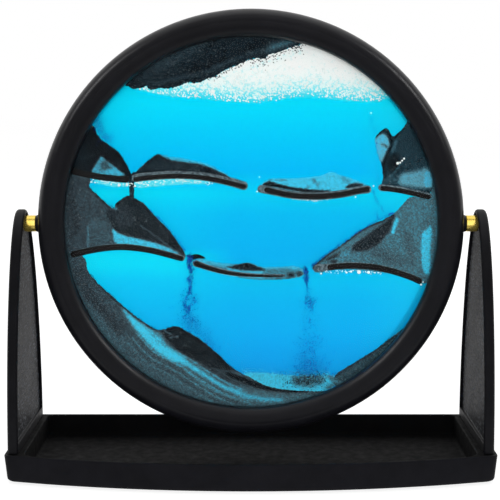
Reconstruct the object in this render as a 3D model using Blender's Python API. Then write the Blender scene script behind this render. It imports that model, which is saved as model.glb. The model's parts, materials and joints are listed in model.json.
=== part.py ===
"""A moving sand picture: a round liquid-filled glass cell in a black ring that flips on two brass
studs between the arms of a tray-shaped stand. Metres, +Z up, the front faces -Y, and the origin is
on the table under the middle of the stand."""

import math

import bmesh
import bpy
from mathutils import Matrix, Vector

MM = 0.001

# Stand: tray
BASE_SIDE_DEPTH = 68 * MM
FRONT_BOW = 14 * MM
BASE_HEIGHT = 11.5 * MM
BASE_DRAFT = 1.0 * MM
BASE_CORNER = 3.5 * MM
BASE_BOTTOM_ROUND = 1.5 * MM
BASE_RIM_ROUND = 0.5 * MM
TRAY_FLOOR = 2.5 * MM
TRAY_WALL = 2.0 * MM
TRAY_SIDE_RIM = 8.2 * MM
TRAY_FRONT_CORNER = 6.5 * MM
TRAY_REAR_CORNER = 3.0 * MM
TRAY_FLOOR_ROUND = 1.2 * MM

# Stand: feet under the tray
FOOT_RADIUS = 5.0 * MM
FOOT_THICKNESS = 1.5 * MM
FOOT_PROUD = 1.0 * MM
FOOT_EDGE_MARGIN = 8.0 * MM

# Stand: arms
RING_CLEARANCE = 2.0 * MM
ARM_CLEARANCE = 5.7 * MM
ARM_THICKNESS = 4.5 * MM
ARM_SIDE_MARGIN = 1.3 * MM
ARM_FOOT_HALF_DEPTH = 32.6 * MM
ARM_TOP_RISE = 6.1 * MM
ARM_ARCH_POWER = 1.8
ARM_EDGE_ROUND = 0.7 * MM
ARM_RIM = 1.5 * MM
ARM_RECESS = 1.3 * MM
ARM_LEDGE = 4.0 * MM
TENON_THICKNESS = 2.4 * MM
TENON_INSET = 0.4 * MM
TENON_LENGTH = 7.0 * MM
TENON_END_MARGIN = 4.0 * MM

# Ring: two bezel halves that meet on the mid-plane
WINDOW_RADIUS = 78.6 * MM
RING_WALL = 2.6 * MM
RING_SEAM = 0.3 * MM
LIP_THICKNESS = 1.7 * MM
CROWN_WIDTH = 4.4 * MM
CROWN_RISE = 6.0 * MM
BEAD_WIDTH = 4.0 * MM
BEAD_RISE = 2.6 * MM
BEAD_GROOVE = 0.35 * MM
CHANNEL_ROOF = 2.6 * MM
RIB_THICKNESS = 0.8 * MM
TONGUE_THICKNESS = 0.6 * MM
TONGUE_LENGTH = 1.0 * MM

# Cell: glass, spacer and what they hold
GLASS_LAP = 4.4 * MM
GLASS_THICKNESS = 2.0 * MM
CAVITY_DEPTH = 7.0 * MM
SPACER_WIDTH = 3.4 * MM
GASKET_THICKNESS = 0.6 * MM
PLUG_RADIUS = 1.6 * MM
PLUG_HEAD_RADIUS = 2.4 * MM
PLUG_HEAD_THICKNESS = 0.8 * MM
DIVIDER_THICKNESS = 2.0 * MM

# Pivot: brass stud, collar, captive nut and arm bush
BARREL_RADIUS = 3.5 * MM
BARREL_ROUND = 0.6 * MM
JOURNAL_RADIUS = 1.8 * MM
JOURNAL_LENGTH = 2.2 * MM
SHANK_RADIUS = 1.7 * MM
COLLAR_RADIUS = 3.7 * MM
COLLAR_FLANGE = 1.2 * MM
COLLAR_WALL = 0.7 * MM
NUT_ACROSS_FLATS = 7.0 * MM
NUT_THICKNESS = 2.4 * MM
BUSH_WALL = 0.9 * MM

# Clearances
FIT_GAP = 0.3 * MM
CUT_PAST = 2.0 * MM

# Facets
RING_STEPS = 72
PIN_STEPS = 24
ROUND_STEPS = 4
WALL_STEP_DEG = 4.0
WELD = 1e-7
SMOOTH_ANGLE_DEG = 35.0

# Levels and radii that follow from the sizes above
GLASS_RADIUS = WINDOW_RADIUS + GLASS_LAP
GLASS_OUTER_Y = CAVITY_DEPTH / 2 + GLASS_THICKNESS
LIP_SEAT_Y = GLASS_OUTER_Y + GASKET_THICKNESS + 2 * FIT_GAP
FILL_HALF_DEPTH = CAVITY_DEPTH / 2 - FIT_GAP
SPACER_INNER_RADIUS = GLASS_RADIUS - SPACER_WIDTH
FILL_RADIUS = SPACER_INNER_RADIUS - FIT_GAP
RIB_INNER = GLASS_RADIUS + FIT_GAP
RIB_OUTER = RIB_INNER + RIB_THICKNESS
NUT_CORNER = NUT_ACROSS_FLATS / math.sqrt(3)
RIB_SHORT_OF_SEAM = NUT_CORNER + 2 * FIT_GAP
RING_WALL_INNER = RIB_OUTER + NUT_THICKNESS + 3 * FIT_GAP
RING_RADIUS = RING_WALL_INNER + RING_WALL
RING_HALF_DEPTH = LIP_SEAT_Y + LIP_THICKNESS + BEAD_RISE
COLLAR_SLEEVE_RADIUS = SHANK_RADIUS + FIT_GAP + COLLAR_WALL
COLLAR_SEAT_X = RING_RADIUS + FIT_GAP
COLLAR_FACE_X = COLLAR_SEAT_X + COLLAR_FLANGE
NUT_OUTER_X = RING_WALL_INNER - FIT_GAP
ARM_INNER_X = RING_RADIUS + ARM_CLEARANCE
ARM_PANEL_X = ARM_INNER_X + ARM_RECESS
ARM_OUTER_X = ARM_INNER_X + ARM_THICKNESS
BUSH_BORE = JOURNAL_RADIUS + FIT_GAP
BUSH_RADIUS = BUSH_BORE + BUSH_WALL
BASE_WIDTH = 2 * (ARM_OUTER_X + ARM_SIDE_MARGIN)
BASE_BOTTOM = FOOT_PROUD
BASE_TOP = BASE_BOTTOM + BASE_HEIGHT
PIVOT_ABOVE_BASE = RING_RADIUS + RING_CLEARANCE
PIVOT_Y = FRONT_BOW / 2
PIVOT_Z = BASE_TOP + PIVOT_ABOVE_BASE
SIDES = (("left", -1), ("right", 1))

# Picture layout in shares of the fill radius, from the centre: x to the right, z up
DIVIDER_LINES = {
    "divider_upper_1": ((-0.955, 0.272), (-0.802, 0.233), (-0.673, 0.214)),
    "divider_upper_2": ((-0.636, 0.216), (-0.370, 0.240), (-0.037, 0.182)),
    "divider_upper_3": ((0.066, 0.173), (0.357, 0.132), (0.627, 0.171)),
    "divider_upper_4": ((0.691, 0.178), (0.820, 0.165), (0.945, 0.125)),
    "divider_lower_1": ((-0.963, -0.180), (-0.754, -0.140), (-0.377, -0.204)),
    "divider_lower_2": ((-0.306, -0.232), (-0.066, -0.282), (0.241, -0.294)),
    "divider_lower_3": ((0.353, -0.256), (0.607, -0.247), (0.902, -0.325)),
}
DIVIDERS_NEAR_WALL = {"divider_upper_1": 0.0, "divider_upper_4": 1.0, "divider_lower_1": 0.0}
TOP_CAP_SLOPE = (
    (-0.567, 0.709), (-0.499, 0.705), (-0.430, 0.714), (-0.353, 0.739), (-0.250, 0.752),
    (-0.199, 0.782), (-0.113, 0.825), (-0.011, 0.863), (0.073, 0.880), (0.160, 0.919),
)
BUBBLE_LINE = (
    (-0.576, 0.686), (-0.469, 0.663), (-0.334, 0.652), (-0.200, 0.644), (0.015, 0.630),
    (0.203, 0.661), (0.419, 0.658), (0.552, 0.642), (0.660, 0.637),
)
UPPER_LEFT_SLOPE = ((-0.833, 0.448), (-0.781, 0.405), (-0.721, 0.378), (-0.689, 0.324))
UPPER_MID_LEFT_SLOPE = (
    (-0.506, 0.354), (-0.431, 0.324), (-0.334, 0.309), (-0.200, 0.281), (-0.092, 0.233),
)
UPPER_MID_RIGHT_SLOPE = ((0.177, 0.217), (0.338, 0.233), (0.424, 0.255), (0.499, 0.228))
UPPER_RIGHT_SLOPE = ((0.794, 0.482), (0.759, 0.448), (0.734, 0.378), (0.700, 0.310), (0.695, 0.251))
MIDDLE_LEFT_SLOPE = (
    (-0.871, 0.185), (-0.818, 0.131), (-0.754, 0.083), (-0.710, 0.110), (-0.657, 0.129),
    (-0.586, 0.093), (-0.538, 0.040), (-0.469, -0.052), (-0.398, -0.149),
)
MIDDLE_CENTRE_SLOPE = ((-0.200, -0.218), (-0.066, -0.230), (0.032, -0.230), (0.149, -0.253))
MIDDLE_RIGHT_SLOPE = (
    (0.821, 0.083), (0.768, 0.045), (0.687, -0.004), (0.579, -0.068), (0.472, -0.137), (0.391, -0.197),
)
BOTTOM_LEFT_SLOPE = (
    (-0.888, -0.253), (-0.841, -0.313), (-0.791, -0.382), (-0.704, -0.450), (-0.627, -0.520),
    (-0.533, -0.579), (-0.473, -0.588), (-0.412, -0.569), (-0.353, -0.588), (-0.267, -0.648),
    (-0.182, -0.725), (-0.113, -0.793), (-0.011, -0.836), (0.073, -0.888), (0.203, -0.922),
)
BOTTOM_RIGHT_SLOPE = ((0.477, -0.820), (0.545, -0.776), (0.631, -0.725), (0.725, -0.665))

# Where each heap meets the wall of the cell, in degrees anticlockwise from +X
TOP_CAP_WALL = (75.0, 131.5)
BUBBLE_WALL = (41.0, 133.0)
UPPER_LEFT_WALL_TOP = 149.0
UPPER_RIGHT_WALL_TOP = 32.0
BOTTOM_LEFT_WALL_END = 291.0
BOTTOM_RIGHT_WALL = (296.5, 320.5)

# Finishes: colour, roughness, metallic, transmission
FINISHES = {
    "black_plastic": ((0.012, 0.012, 0.014), 0.42, 0.0, 0.0),
    "grained_black_plastic": ((0.016, 0.016, 0.018), 0.55, 0.0, 0.0),
    "brass": ((0.78, 0.56, 0.16), 0.22, 1.0, 0.0),
    "steel": ((0.55, 0.56, 0.58), 0.30, 1.0, 0.0),
    "black_rubber": ((0.010, 0.010, 0.010), 0.80, 0.0, 0.0),
    "nylon": ((0.75, 0.74, 0.70), 0.50, 0.0, 0.0),
    "clear_glass": ((0.95, 0.98, 0.98), 0.02, 0.0, 1.0),
    "blue_liquid": ((0.005, 0.50, 0.90), 0.05, 0.0, 0.6),
    "bubbles": ((0.88, 0.90, 0.90), 0.30, 0.0, 0.0),
    "dark_sand": ((0.035, 0.055, 0.065), 0.90, 0.0, 0.0),
}


def finish(name):
    """The named material, made the first time it is asked for."""
    if name in bpy.data.materials:
        return bpy.data.materials[name]
    colour, roughness, metallic, transmission = FINISHES[name]
    made = bpy.data.materials.new(name)
    made.use_nodes = True
    made.diffuse_color = (*colour, 1.0)
    shader = made.node_tree.nodes["Principled BSDF"]
    shader.inputs["Base Color"].default_value = (*colour, 1.0)
    shader.inputs["Roughness"].default_value = roughness
    shader.inputs["Metallic"].default_value = metallic
    shader.inputs["Transmission Weight"].default_value = transmission
    return made


def placed(name, bm, material, parent=None, location=(0, 0, 0)):
    """Turns a bmesh into a named, smoothly shaded object."""
    bmesh.ops.remove_doubles(bm, verts=bm.verts, dist=WELD)
    bmesh.ops.recalc_face_normals(bm, faces=bm.faces)
    mesh = bpy.data.meshes.new(name)
    bm.to_mesh(mesh)
    bm.free()
    mesh.shade_smooth()
    mesh.set_sharp_from_angle(angle=math.radians(SMOOTH_ANGLE_DEG))
    obj = bpy.data.objects.new(name, mesh)
    obj.location = location
    obj.parent = parent
    bpy.context.scene.collection.objects.link(obj)
    if material:
        mesh.materials.append(finish(material))
    return obj


def empty(name, location):
    """An empty that carries the pieces of one moving body."""
    obj = bpy.data.objects.new(name, None)
    obj.location = location
    bpy.context.scene.collection.objects.link(obj)
    return obj


def prism(loop, along, start, end):
    """A bmesh of a flat outline, given as 3-D points, extruded along a unit vector."""
    bm = bmesh.new()
    offset = Vector(along) * start
    face = bm.faces.new([bm.verts.new(Vector(point) + offset) for point in loop])
    grown = bmesh.ops.extrude_face_region(bm, geom=[face])
    raised = [item for item in grown["geom"] if isinstance(item, bmesh.types.BMVert)]
    bmesh.ops.translate(bm, verts=raised, vec=Vector(along) * (end - start))
    return bm


def flat_prism(outline, half_depth):
    """A bmesh of an (x, z) outline, as thick as the fill of the cell."""
    return prism([(x, 0, z) for x, z in outline], (0, 1, 0), -half_depth, half_depth)


def turned(profile, axis, steps):
    """A bmesh of a closed (radius, distance along the axis) profile, turned round the axis."""
    bm = bmesh.new()
    axis = Vector(axis)
    radial = axis.orthogonal().normalized()
    verts = [bm.verts.new(radial * radius + axis * along) for radius, along in profile]
    edges = [bm.edges.new((verts[i - 1], verts[i])) for i in range(len(verts))]
    bmesh.ops.spin(
        bm, geom=verts + edges, cent=(0, 0, 0), axis=axis, angle=math.tau, steps=steps, use_merge=True
    )
    return bm


def lofted(sections):
    """A bmesh through loops of equally many points, capped at both ends."""
    bm = bmesh.new()
    loops = [[bm.verts.new(point) for point in section] for section in sections]
    bm.faces.new(loops[0])
    bm.faces.new(loops[-1])
    for low, high in zip(loops, loops[1:]):
        for i in range(len(low)):
            bm.faces.new((low[i - 1], low[i], high[i], high[i - 1]))
    return bm


def boolean(target, tool, operation):
    """Cuts a hidden tool out of the target, or joins it on."""
    tool.hide_render = True
    tool.display_type = "WIRE"
    modifier = target.modifiers.new(tool.name, "BOOLEAN")
    modifier.operation = operation
    modifier.object = tool
    modifier.solver = "EXACT"


def box(low, high):
    """A bmesh box between two corners."""
    bm = bmesh.new()
    low, high = Vector(low), Vector(high)
    size = Matrix.Diagonal((high - low).to_4d())
    bmesh.ops.create_cube(bm, size=1.0, matrix=Matrix.Translation((low + high) / 2) @ size)
    return bm


def arc(centre, radius, start, end, steps):
    """Points on a circle between two angles in radians, both ends included."""
    angles = [start + (end - start) * i / steps for i in range(steps + 1)]
    return [(centre[0] + radius * math.cos(a), centre[1] + radius * math.sin(a)) for a in angles]


def rounded(corner, before, after, radius, steps):
    """The arc that rounds one corner between its two neighbours."""
    corner, before, after = Vector(corner), Vector(before), Vector(after)
    back, ahead = (before - corner).normalized(), (after - corner).normalized()
    half_angle = back.angle(ahead) / 2
    centre = corner + (back + ahead).normalized() * (radius / math.sin(half_angle))
    reach = radius / math.tan(half_angle)
    start, end = corner + back * reach - centre, corner + ahead * reach - centre
    turn = start.angle_signed(end)
    return [
        tuple(centre + Matrix.Rotation(-turn * i / steps, 2) @ start) for i in range(steps + 1)
    ]


# Stand


def bow_radius():
    """Radius of the bowed front edge, from its width and its bow."""
    half = BASE_WIDTH / 2
    return (half**2 + FRONT_BOW**2) / (2 * FRONT_BOW)


def tray_outline(side, rear, inset, front_corner, rear_corner):
    """A loop seen from above, with straight sides, a straight rear and a bowed front edge."""
    steps = 16
    radius = bow_radius()
    centre_y = PIVOT_Y - BASE_SIDE_DEPTH / 2 - FRONT_BOW + radius
    across = [-side + 2 * side * i / steps for i in range(steps + 1)]
    front = [(x, centre_y - math.sqrt((radius - inset) ** 2 - x**2)) for x in across]
    rear_left, rear_right = (-side, rear), (side, rear)
    loop = rounded(rear_left, rear_right, front[0], rear_corner, ROUND_STEPS)
    loop += rounded(front[0], rear_left, front[1], front_corner, ROUND_STEPS)
    loop += front[1:-1]
    loop += rounded(front[-1], front[-2], rear_right, front_corner, ROUND_STEPS)
    loop += rounded(rear_right, front[-1], rear_left, rear_corner, ROUND_STEPS)
    return loop


def outer_loop(inset, z):
    """The tray's outside at a height above its underside."""
    rear = PIVOT_Y + BASE_SIDE_DEPTH / 2 - inset
    outline = tray_outline(BASE_WIDTH / 2 - inset, rear, inset, BASE_CORNER, BASE_CORNER)
    return [(x, y, BASE_BOTTOM + z) for x, y in outline]


def recess_loop(inset, z):
    """The tray's hollow at a height above its underside."""
    wall = TRAY_WALL + inset
    side = BASE_WIDTH / 2 - TRAY_SIDE_RIM - inset
    rear = PIVOT_Y + BASE_SIDE_DEPTH / 2 - wall
    outline = tray_outline(side, rear, wall, TRAY_FRONT_CORNER, TRAY_REAR_CORNER)
    return [(x, y, BASE_BOTTOM + z) for x, y in outline]


def base_tray():
    sections = []
    for i in range(ROUND_STEPS + 1):
        angle = math.radians(90) * i / ROUND_STEPS
        z = BASE_BOTTOM_ROUND * (1 - math.cos(angle))
        inset = BASE_BOTTOM_ROUND * (1 - math.sin(angle)) + BASE_DRAFT * (1 - z / BASE_HEIGHT)
        sections.append(outer_loop(inset, z))
    sections.append(outer_loop(0, BASE_HEIGHT - BASE_RIM_ROUND))
    sections.append(outer_loop(BASE_RIM_ROUND, BASE_HEIGHT))
    sections.append(recess_loop(-BASE_RIM_ROUND, BASE_HEIGHT))
    sections.append(recess_loop(0, BASE_HEIGHT - BASE_RIM_ROUND))
    sections.append(recess_loop(0, TRAY_FLOOR + TRAY_FLOOR_ROUND))
    sections.append(recess_loop(TRAY_FLOOR_ROUND, TRAY_FLOOR))
    tray = placed("base_tray", lofted(sections), "black_plastic")
    for side, sign in SIDES:
        low, high = tenon_box(sign, FIT_GAP)
        high.z = BASE_TOP + CUT_PAST
        boolean(tray, placed(f"cut_slot_{side}", box(low, high), None), "DIFFERENCE")
    pocket_radius = FOOT_RADIUS + FIT_GAP
    pocket_top = FOOT_THICKNESS - FOOT_PROUD + FIT_GAP
    profile = [(0, -CUT_PAST), (pocket_radius, -CUT_PAST), (pocket_radius, pocket_top), (0, pocket_top)]
    for name, place in foot_places():
        cutter = placed(f"cut_{name}", turned(profile, (0, 0, 1), PIN_STEPS), None)
        cutter.location = (*place, BASE_BOTTOM)
        boolean(tray, cutter, "DIFFERENCE")
    return tray


def foot_places():
    """Names and (x, y) places of the four rubber feet."""
    margin = FOOT_EDGE_MARGIN + FOOT_RADIUS
    x = BASE_WIDTH / 2 - margin
    reach = BASE_SIDE_DEPTH / 2 - margin
    return [
        (f"foot_{end}_{side}", (sign * x, PIVOT_Y + towards * reach))
        for end, towards in (("front", -1), ("rear", 1))
        for side, sign in SIDES
    ]


def feet():
    edge = FOOT_THICKNESS / 5
    profile = [
        (0, 0), (FOOT_RADIUS - edge, 0), (FOOT_RADIUS, edge), (FOOT_RADIUS, FOOT_THICKNESS), (0, FOOT_THICKNESS)
    ]
    for name, place in foot_places():
        placed(name, turned(profile, (0, 0, 1), PIN_STEPS), "black_rubber", location=(*place, 0))


def arm_outline(inset, bottom):
    """The arm from the side, as (y, z): an arch with full flanks and a blunt round top."""
    half = ARM_FOOT_HALF_DEPTH - inset
    rise = PIVOT_ABOVE_BASE + ARM_TOP_RISE - inset
    start = math.asin(((bottom - BASE_TOP) / rise) ** (ARM_ARCH_POWER / 2))
    power, steps = 2 / ARM_ARCH_POWER, 18
    front = []
    for i in range(steps):
        angle = start + (math.pi / 2 - start) * i / steps
        front.append((half * math.cos(angle) ** power, BASE_TOP + rise * math.sin(angle) ** power))
    peak = [(PIVOT_Y, BASE_TOP + rise)]
    return [(PIVOT_Y - y, z) for y, z in front] + peak + [(PIVOT_Y + y, z) for y, z in reversed(front)]


def tenon_box(sign, margin):
    """Corners of the tongue under an arm, or of its slot when given a margin."""
    near = ARM_INNER_X + TENON_INSET - margin
    far = ARM_INNER_X + TENON_INSET + TENON_THICKNESS + margin
    reach = ARM_FOOT_HALF_DEPTH - TENON_END_MARGIN + margin
    low = Vector((min(sign * near, sign * far), PIVOT_Y - reach, BASE_TOP - TENON_LENGTH - margin))
    high = Vector((max(sign * near, sign * far), PIVOT_Y + reach, BASE_TOP + ARM_LEDGE / 2))
    return low, high


def arm(side, sign):
    shoulder = BASE_TOP + FIT_GAP
    sections = []
    for depth, inset in (
        (0, ARM_EDGE_ROUND),
        (ARM_EDGE_ROUND * 0.3, ARM_EDGE_ROUND * 0.3),
        (ARM_EDGE_ROUND, 0),
        (ARM_THICKNESS - ARM_EDGE_ROUND, 0),
        (ARM_THICKNESS - ARM_EDGE_ROUND * 0.3, ARM_EDGE_ROUND * 0.3),
        (ARM_THICKNESS, ARM_EDGE_ROUND),
    ):
        x = sign * (ARM_INNER_X + depth)
        sections.append([(x, y, z) for y, z in arm_outline(inset, shoulder)])
    made = placed(f"{side}_arm", lofted(sections), "grained_black_plastic")
    panel = [(0, y, z) for y, z in arm_outline(ARM_RIM, BASE_TOP + ARM_LEDGE)]
    cut = prism(panel, (sign, 0, 0), ARM_INNER_X - CUT_PAST, ARM_PANEL_X)
    boolean(made, placed(f"cut_panel_{side}", cut, None), "DIFFERENCE")
    seat_radius = BUSH_RADIUS + FIT_GAP
    seat_end = ARM_PANEL_X + JOURNAL_LENGTH + FIT_GAP
    start = ARM_INNER_X - CUT_PAST
    profile = [(0, start), (seat_radius, start), (seat_radius, seat_end), (0, seat_end)]
    seat = placed(f"cut_bush_seat_{side}", turned(profile, (sign, 0, 0), PIN_STEPS), None)
    seat.location = (0, PIVOT_Y, PIVOT_Z)
    boolean(made, seat, "DIFFERENCE")
    boolean(made, placed(f"join_tenon_{side}", box(*tenon_box(sign, 0)), None), "UNION")
    return made


def arm_bush(side, sign):
    start = ARM_PANEL_X + FIT_GAP / 2
    end = ARM_PANEL_X + JOURNAL_LENGTH
    profile = [(BUSH_BORE, start), (BUSH_RADIUS, start), (BUSH_RADIUS, end), (BUSH_BORE, end)]
    bm = turned(profile, (sign, 0, 0), PIN_STEPS)
    placed(f"{side}_arm_bush", bm, "nylon", location=(0, PIVOT_Y, PIVOT_Z))


# Ring


def crown_profile():
    """The visible face of a bezel half, from the outer wall over crown and bead to the window."""
    crown_y = RING_HALF_DEPTH - CROWN_RISE
    crown = []
    for i in range(6):
        angle = math.radians(90) * i / 5
        radius = RING_RADIUS - CROWN_WIDTH * (1 - math.cos(angle))
        crown.append((radius, crown_y + CROWN_RISE * math.sin(angle)))
    bead_radius = WINDOW_RADIUS + BEAD_WIDTH
    groove = ((crown[-1][0] + bead_radius) / 2, RING_HALF_DEPTH - BEAD_GROOVE)
    bead = []
    for i in range(5):
        angle = math.radians(90) * i / 4
        radius = WINDOW_RADIUS + BEAD_WIDTH * (1 - math.sin(angle))
        bead.append((radius, RING_HALF_DEPTH - BEAD_RISE * (1 - math.cos(angle))))
    return crown + [groove] + bead


def bezel_profile(with_tongue):
    """A bezel half in section, as (radius, distance from the mid-plane)."""
    seam = RING_SEAM / 2
    channel_y = RING_HALF_DEPTH - CHANNEL_ROOF
    wall_middle = RING_RADIUS - RING_WALL / 2
    half = TONGUE_THICKNESS / 2
    inside = [
        (WINDOW_RADIUS, LIP_SEAT_Y),
        (RIB_INNER, LIP_SEAT_Y),
        (RIB_INNER, RIB_SHORT_OF_SEAM),
        (RIB_OUTER, RIB_SHORT_OF_SEAM),
        (RIB_OUTER, channel_y),
        (RING_WALL_INNER, channel_y),
        (RING_WALL_INNER, seam),
    ]
    if with_tongue:
        depth = -TONGUE_LENGTH
    else:
        half += FIT_GAP
        depth = TONGUE_LENGTH + FIT_GAP
    seam_detail = [
        (wall_middle - half, seam),
        (wall_middle - half, depth),
        (wall_middle + half, depth),
        (wall_middle + half, seam),
    ]
    return crown_profile() + inside + seam_detail + [(RING_RADIUS, seam)]


def bezel(name, forward, with_tongue, parent):
    made = placed(
        name, turned(bezel_profile(with_tongue), (0, forward, 0), RING_STEPS), "black_plastic", parent
    )
    hole = COLLAR_SLEEVE_RADIUS + FIT_GAP
    near, far = RING_WALL_INNER - CUT_PAST, RING_RADIUS + CUT_PAST
    profile = [(0, near), (hole, near), (hole, far), (0, far)]
    for side, sign in SIDES:
        cutter = placed(f"cut_{name}_{side}", turned(profile, (sign, 0, 0), PIN_STEPS), None, parent)
        boolean(made, cutter, "DIFFERENCE")


def disc(name, near, far, material, parent):
    """A pane of glass between two distances from the mid-plane."""
    profile = [(0, near), (GLASS_RADIUS, near), (GLASS_RADIUS, far), (0, far)]
    placed(name, turned(profile, (0, 1, 0), RING_STEPS), material, parent)


def band(name, inner, outer, near, far, material, parent):
    """A flat ring between two radii and two distances from the mid-plane."""
    profile = [(inner, near), (outer, near), (outer, far), (inner, far)]
    return placed(name, turned(profile, (0, 1, 0), RING_STEPS), material, parent)


def glass_cell(parent):
    near, far = CAVITY_DEPTH / 2, GLASS_OUTER_Y
    disc("front_glass", -far, -near, "clear_glass", parent)
    disc("rear_glass", near, far, "clear_glass", parent)
    low, high = GLASS_OUTER_Y + FIT_GAP, LIP_SEAT_Y - FIT_GAP
    band("front_gasket", WINDOW_RADIUS + FIT_GAP, GLASS_RADIUS, -high, -low, "black_rubber", parent)
    band("rear_gasket", WINDOW_RADIUS + FIT_GAP, GLASS_RADIUS, low, high, "black_rubber", parent)
    spacer = band(
        "cell_spacer", SPACER_INNER_RADIUS, GLASS_RADIUS, -FILL_HALF_DEPTH, FILL_HALF_DEPTH,
        "black_rubber", parent
    )
    hole = PLUG_RADIUS + FIT_GAP
    bottom, top = SPACER_INNER_RADIUS - CUT_PAST, GLASS_RADIUS + CUT_PAST
    cutter = turned([(0, bottom), (hole, bottom), (hole, top), (0, top)], (0, 0, 1), PIN_STEPS)
    boolean(spacer, placed("cut_fill_hole", cutter, None, parent), "DIFFERENCE")
    seat = GLASS_RADIUS + FIT_GAP
    plug = [
        (0, SPACER_INNER_RADIUS), (PLUG_RADIUS, SPACER_INNER_RADIUS), (PLUG_RADIUS, seat),
        (PLUG_HEAD_RADIUS, seat), (PLUG_HEAD_RADIUS, seat + PLUG_HEAD_THICKNESS),
        (0, seat + PLUG_HEAD_THICKNESS),
    ]
    placed("filler_plug", turned(plug, (0, 0, 1), PIN_STEPS), "black_rubber", parent)


# Pivot


def pivot(side, sign, parent):
    collar_bore = SHANK_RADIUS + FIT_GAP
    collar = [
        (collar_bore, RING_WALL_INNER),
        (COLLAR_SLEEVE_RADIUS, RING_WALL_INNER),
        (COLLAR_SLEEVE_RADIUS, COLLAR_SEAT_X),
        (COLLAR_RADIUS, COLLAR_SEAT_X),
        (COLLAR_RADIUS, COLLAR_FACE_X),
        (collar_bore, COLLAR_FACE_X),
    ]
    placed(f"{side}_pivot_collar", turned(collar, (sign, 0, 0), PIN_STEPS), "black_plastic", parent)

    shank_end = NUT_OUTER_X - NUT_THICKNESS - FIT_GAP
    barrel_start = COLLAR_FACE_X + FIT_GAP / 2
    barrel_end = ARM_PANEL_X - FIT_GAP
    stud = [(0, shank_end), (SHANK_RADIUS, shank_end), (SHANK_RADIUS, barrel_start)]
    stud += [(BARREL_RADIUS, barrel_start)]
    for i in range(4):
        angle = math.radians(90) * i / 3
        radius = BARREL_RADIUS - BARREL_ROUND * (1 - math.cos(angle))
        stud.append((radius, barrel_end - BARREL_ROUND * (1 - math.sin(angle))))
    journal_end = ARM_PANEL_X + JOURNAL_LENGTH - FIT_GAP / 2
    stud += [(JOURNAL_RADIUS, barrel_end), (JOURNAL_RADIUS, journal_end), (0, journal_end)]
    placed(f"{side}_pivot_stud", turned(stud, (sign, 0, 0), PIN_STEPS), "brass", parent)

    hexagon = [(0, y, z) for y, z in arc((0, 0), NUT_CORNER, 0, math.tau, 6)[:-1]]
    nut = placed(
        f"{side}_captive_nut", prism(hexagon, (sign, 0, 0), NUT_OUTER_X - NUT_THICKNESS, NUT_OUTER_X),
        "steel", parent
    )
    start, end = NUT_OUTER_X - NUT_THICKNESS - CUT_PAST, NUT_OUTER_X + CUT_PAST
    profile = [(0, start), (collar_bore, start), (collar_bore, end), (0, end)]
    thread = placed(f"cut_thread_{side}", turned(profile, (sign, 0, 0), PIN_STEPS), None, parent)
    boolean(nut, thread, "DIFFERENCE")


# Picture: dividers, sand, bubbles and liquid


def scaled(points):
    """Layout shares as (x, z) sizes from the ring's centre."""
    return [(u * FILL_RADIUS, v * FILL_RADIUS) for u, v in points]


def divider_edge(name, offset, start=0.0, end=1.0, steps=8):
    """Points beside a divider's middle line, a signed distance above it, between two shares of it."""
    (ax, az), (bx, bz), (cx, cz) = scaled(DIVIDER_LINES[name])
    pull_x, pull_z = 2 * bx - (ax + cx) / 2, 2 * bz - (az + cz) / 2
    points = []
    for i in range(steps + 1):
        t = start + (end - start) * i / steps
        x = (1 - t) ** 2 * ax + 2 * t * (1 - t) * pull_x + t**2 * cx
        z = (1 - t) ** 2 * az + 2 * t * (1 - t) * pull_z + t**2 * cz
        along = Vector((
            2 * (1 - t) * (pull_x - ax) + 2 * t * (cx - pull_x),
            2 * (1 - t) * (pull_z - az) + 2 * t * (cz - pull_z),
        )).normalized()
        points.append((x - along.y * offset, z + along.x * offset))
    return points


def seat(name, above, start=0.0, end=1.0, steps=8):
    """The face of a divider that sand lies against, with its clearance."""
    offset = DIVIDER_THICKNESS / 2 + FIT_GAP
    return divider_edge(name, offset if above else -offset, start, end, steps)


def wall(start_deg, end_deg):
    """Points along the wall of the cell between two angles."""
    steps = max(2, math.ceil(abs(end_deg - start_deg) / WALL_STEP_DEG))
    return arc((0, 0), FILL_RADIUS, math.radians(start_deg), math.radians(end_deg), steps)


def bearing(point):
    """The angle of a point from the ring's centre, in degrees from 0 to 360."""
    return math.degrees(math.atan2(point[1], point[0])) % 360


def grown(outline, distance):
    """An anticlockwise outline moved outwards; sharp points are cut square."""
    points = [Vector(point) for point in outline]
    made = []
    for i, here in enumerate(points):
        before, after = points[i - 1], points[(i + 1) % len(points)]
        into, out = (here - before).normalized(), (after - here).normalized()
        side_in, side_out = Vector((into.y, -into.x)), Vector((out.y, -out.x))
        middle = side_in + side_out
        if into.cross(out) > 0 and middle.length < 1.0:
            made += [here + (side_in + into) * distance, here + (side_out - out) * distance]
        else:
            made.append(here + middle * (2 * distance / middle.length_squared))
    return [tuple(point) for point in made]


def anticlockwise(outline):
    """The outline in anticlockwise order."""
    area = sum(a[0] * b[1] - b[0] * a[1] for a, b in zip(outline, outline[1:] + outline[:1]))
    return outline if area > 0 else outline[::-1]


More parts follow.
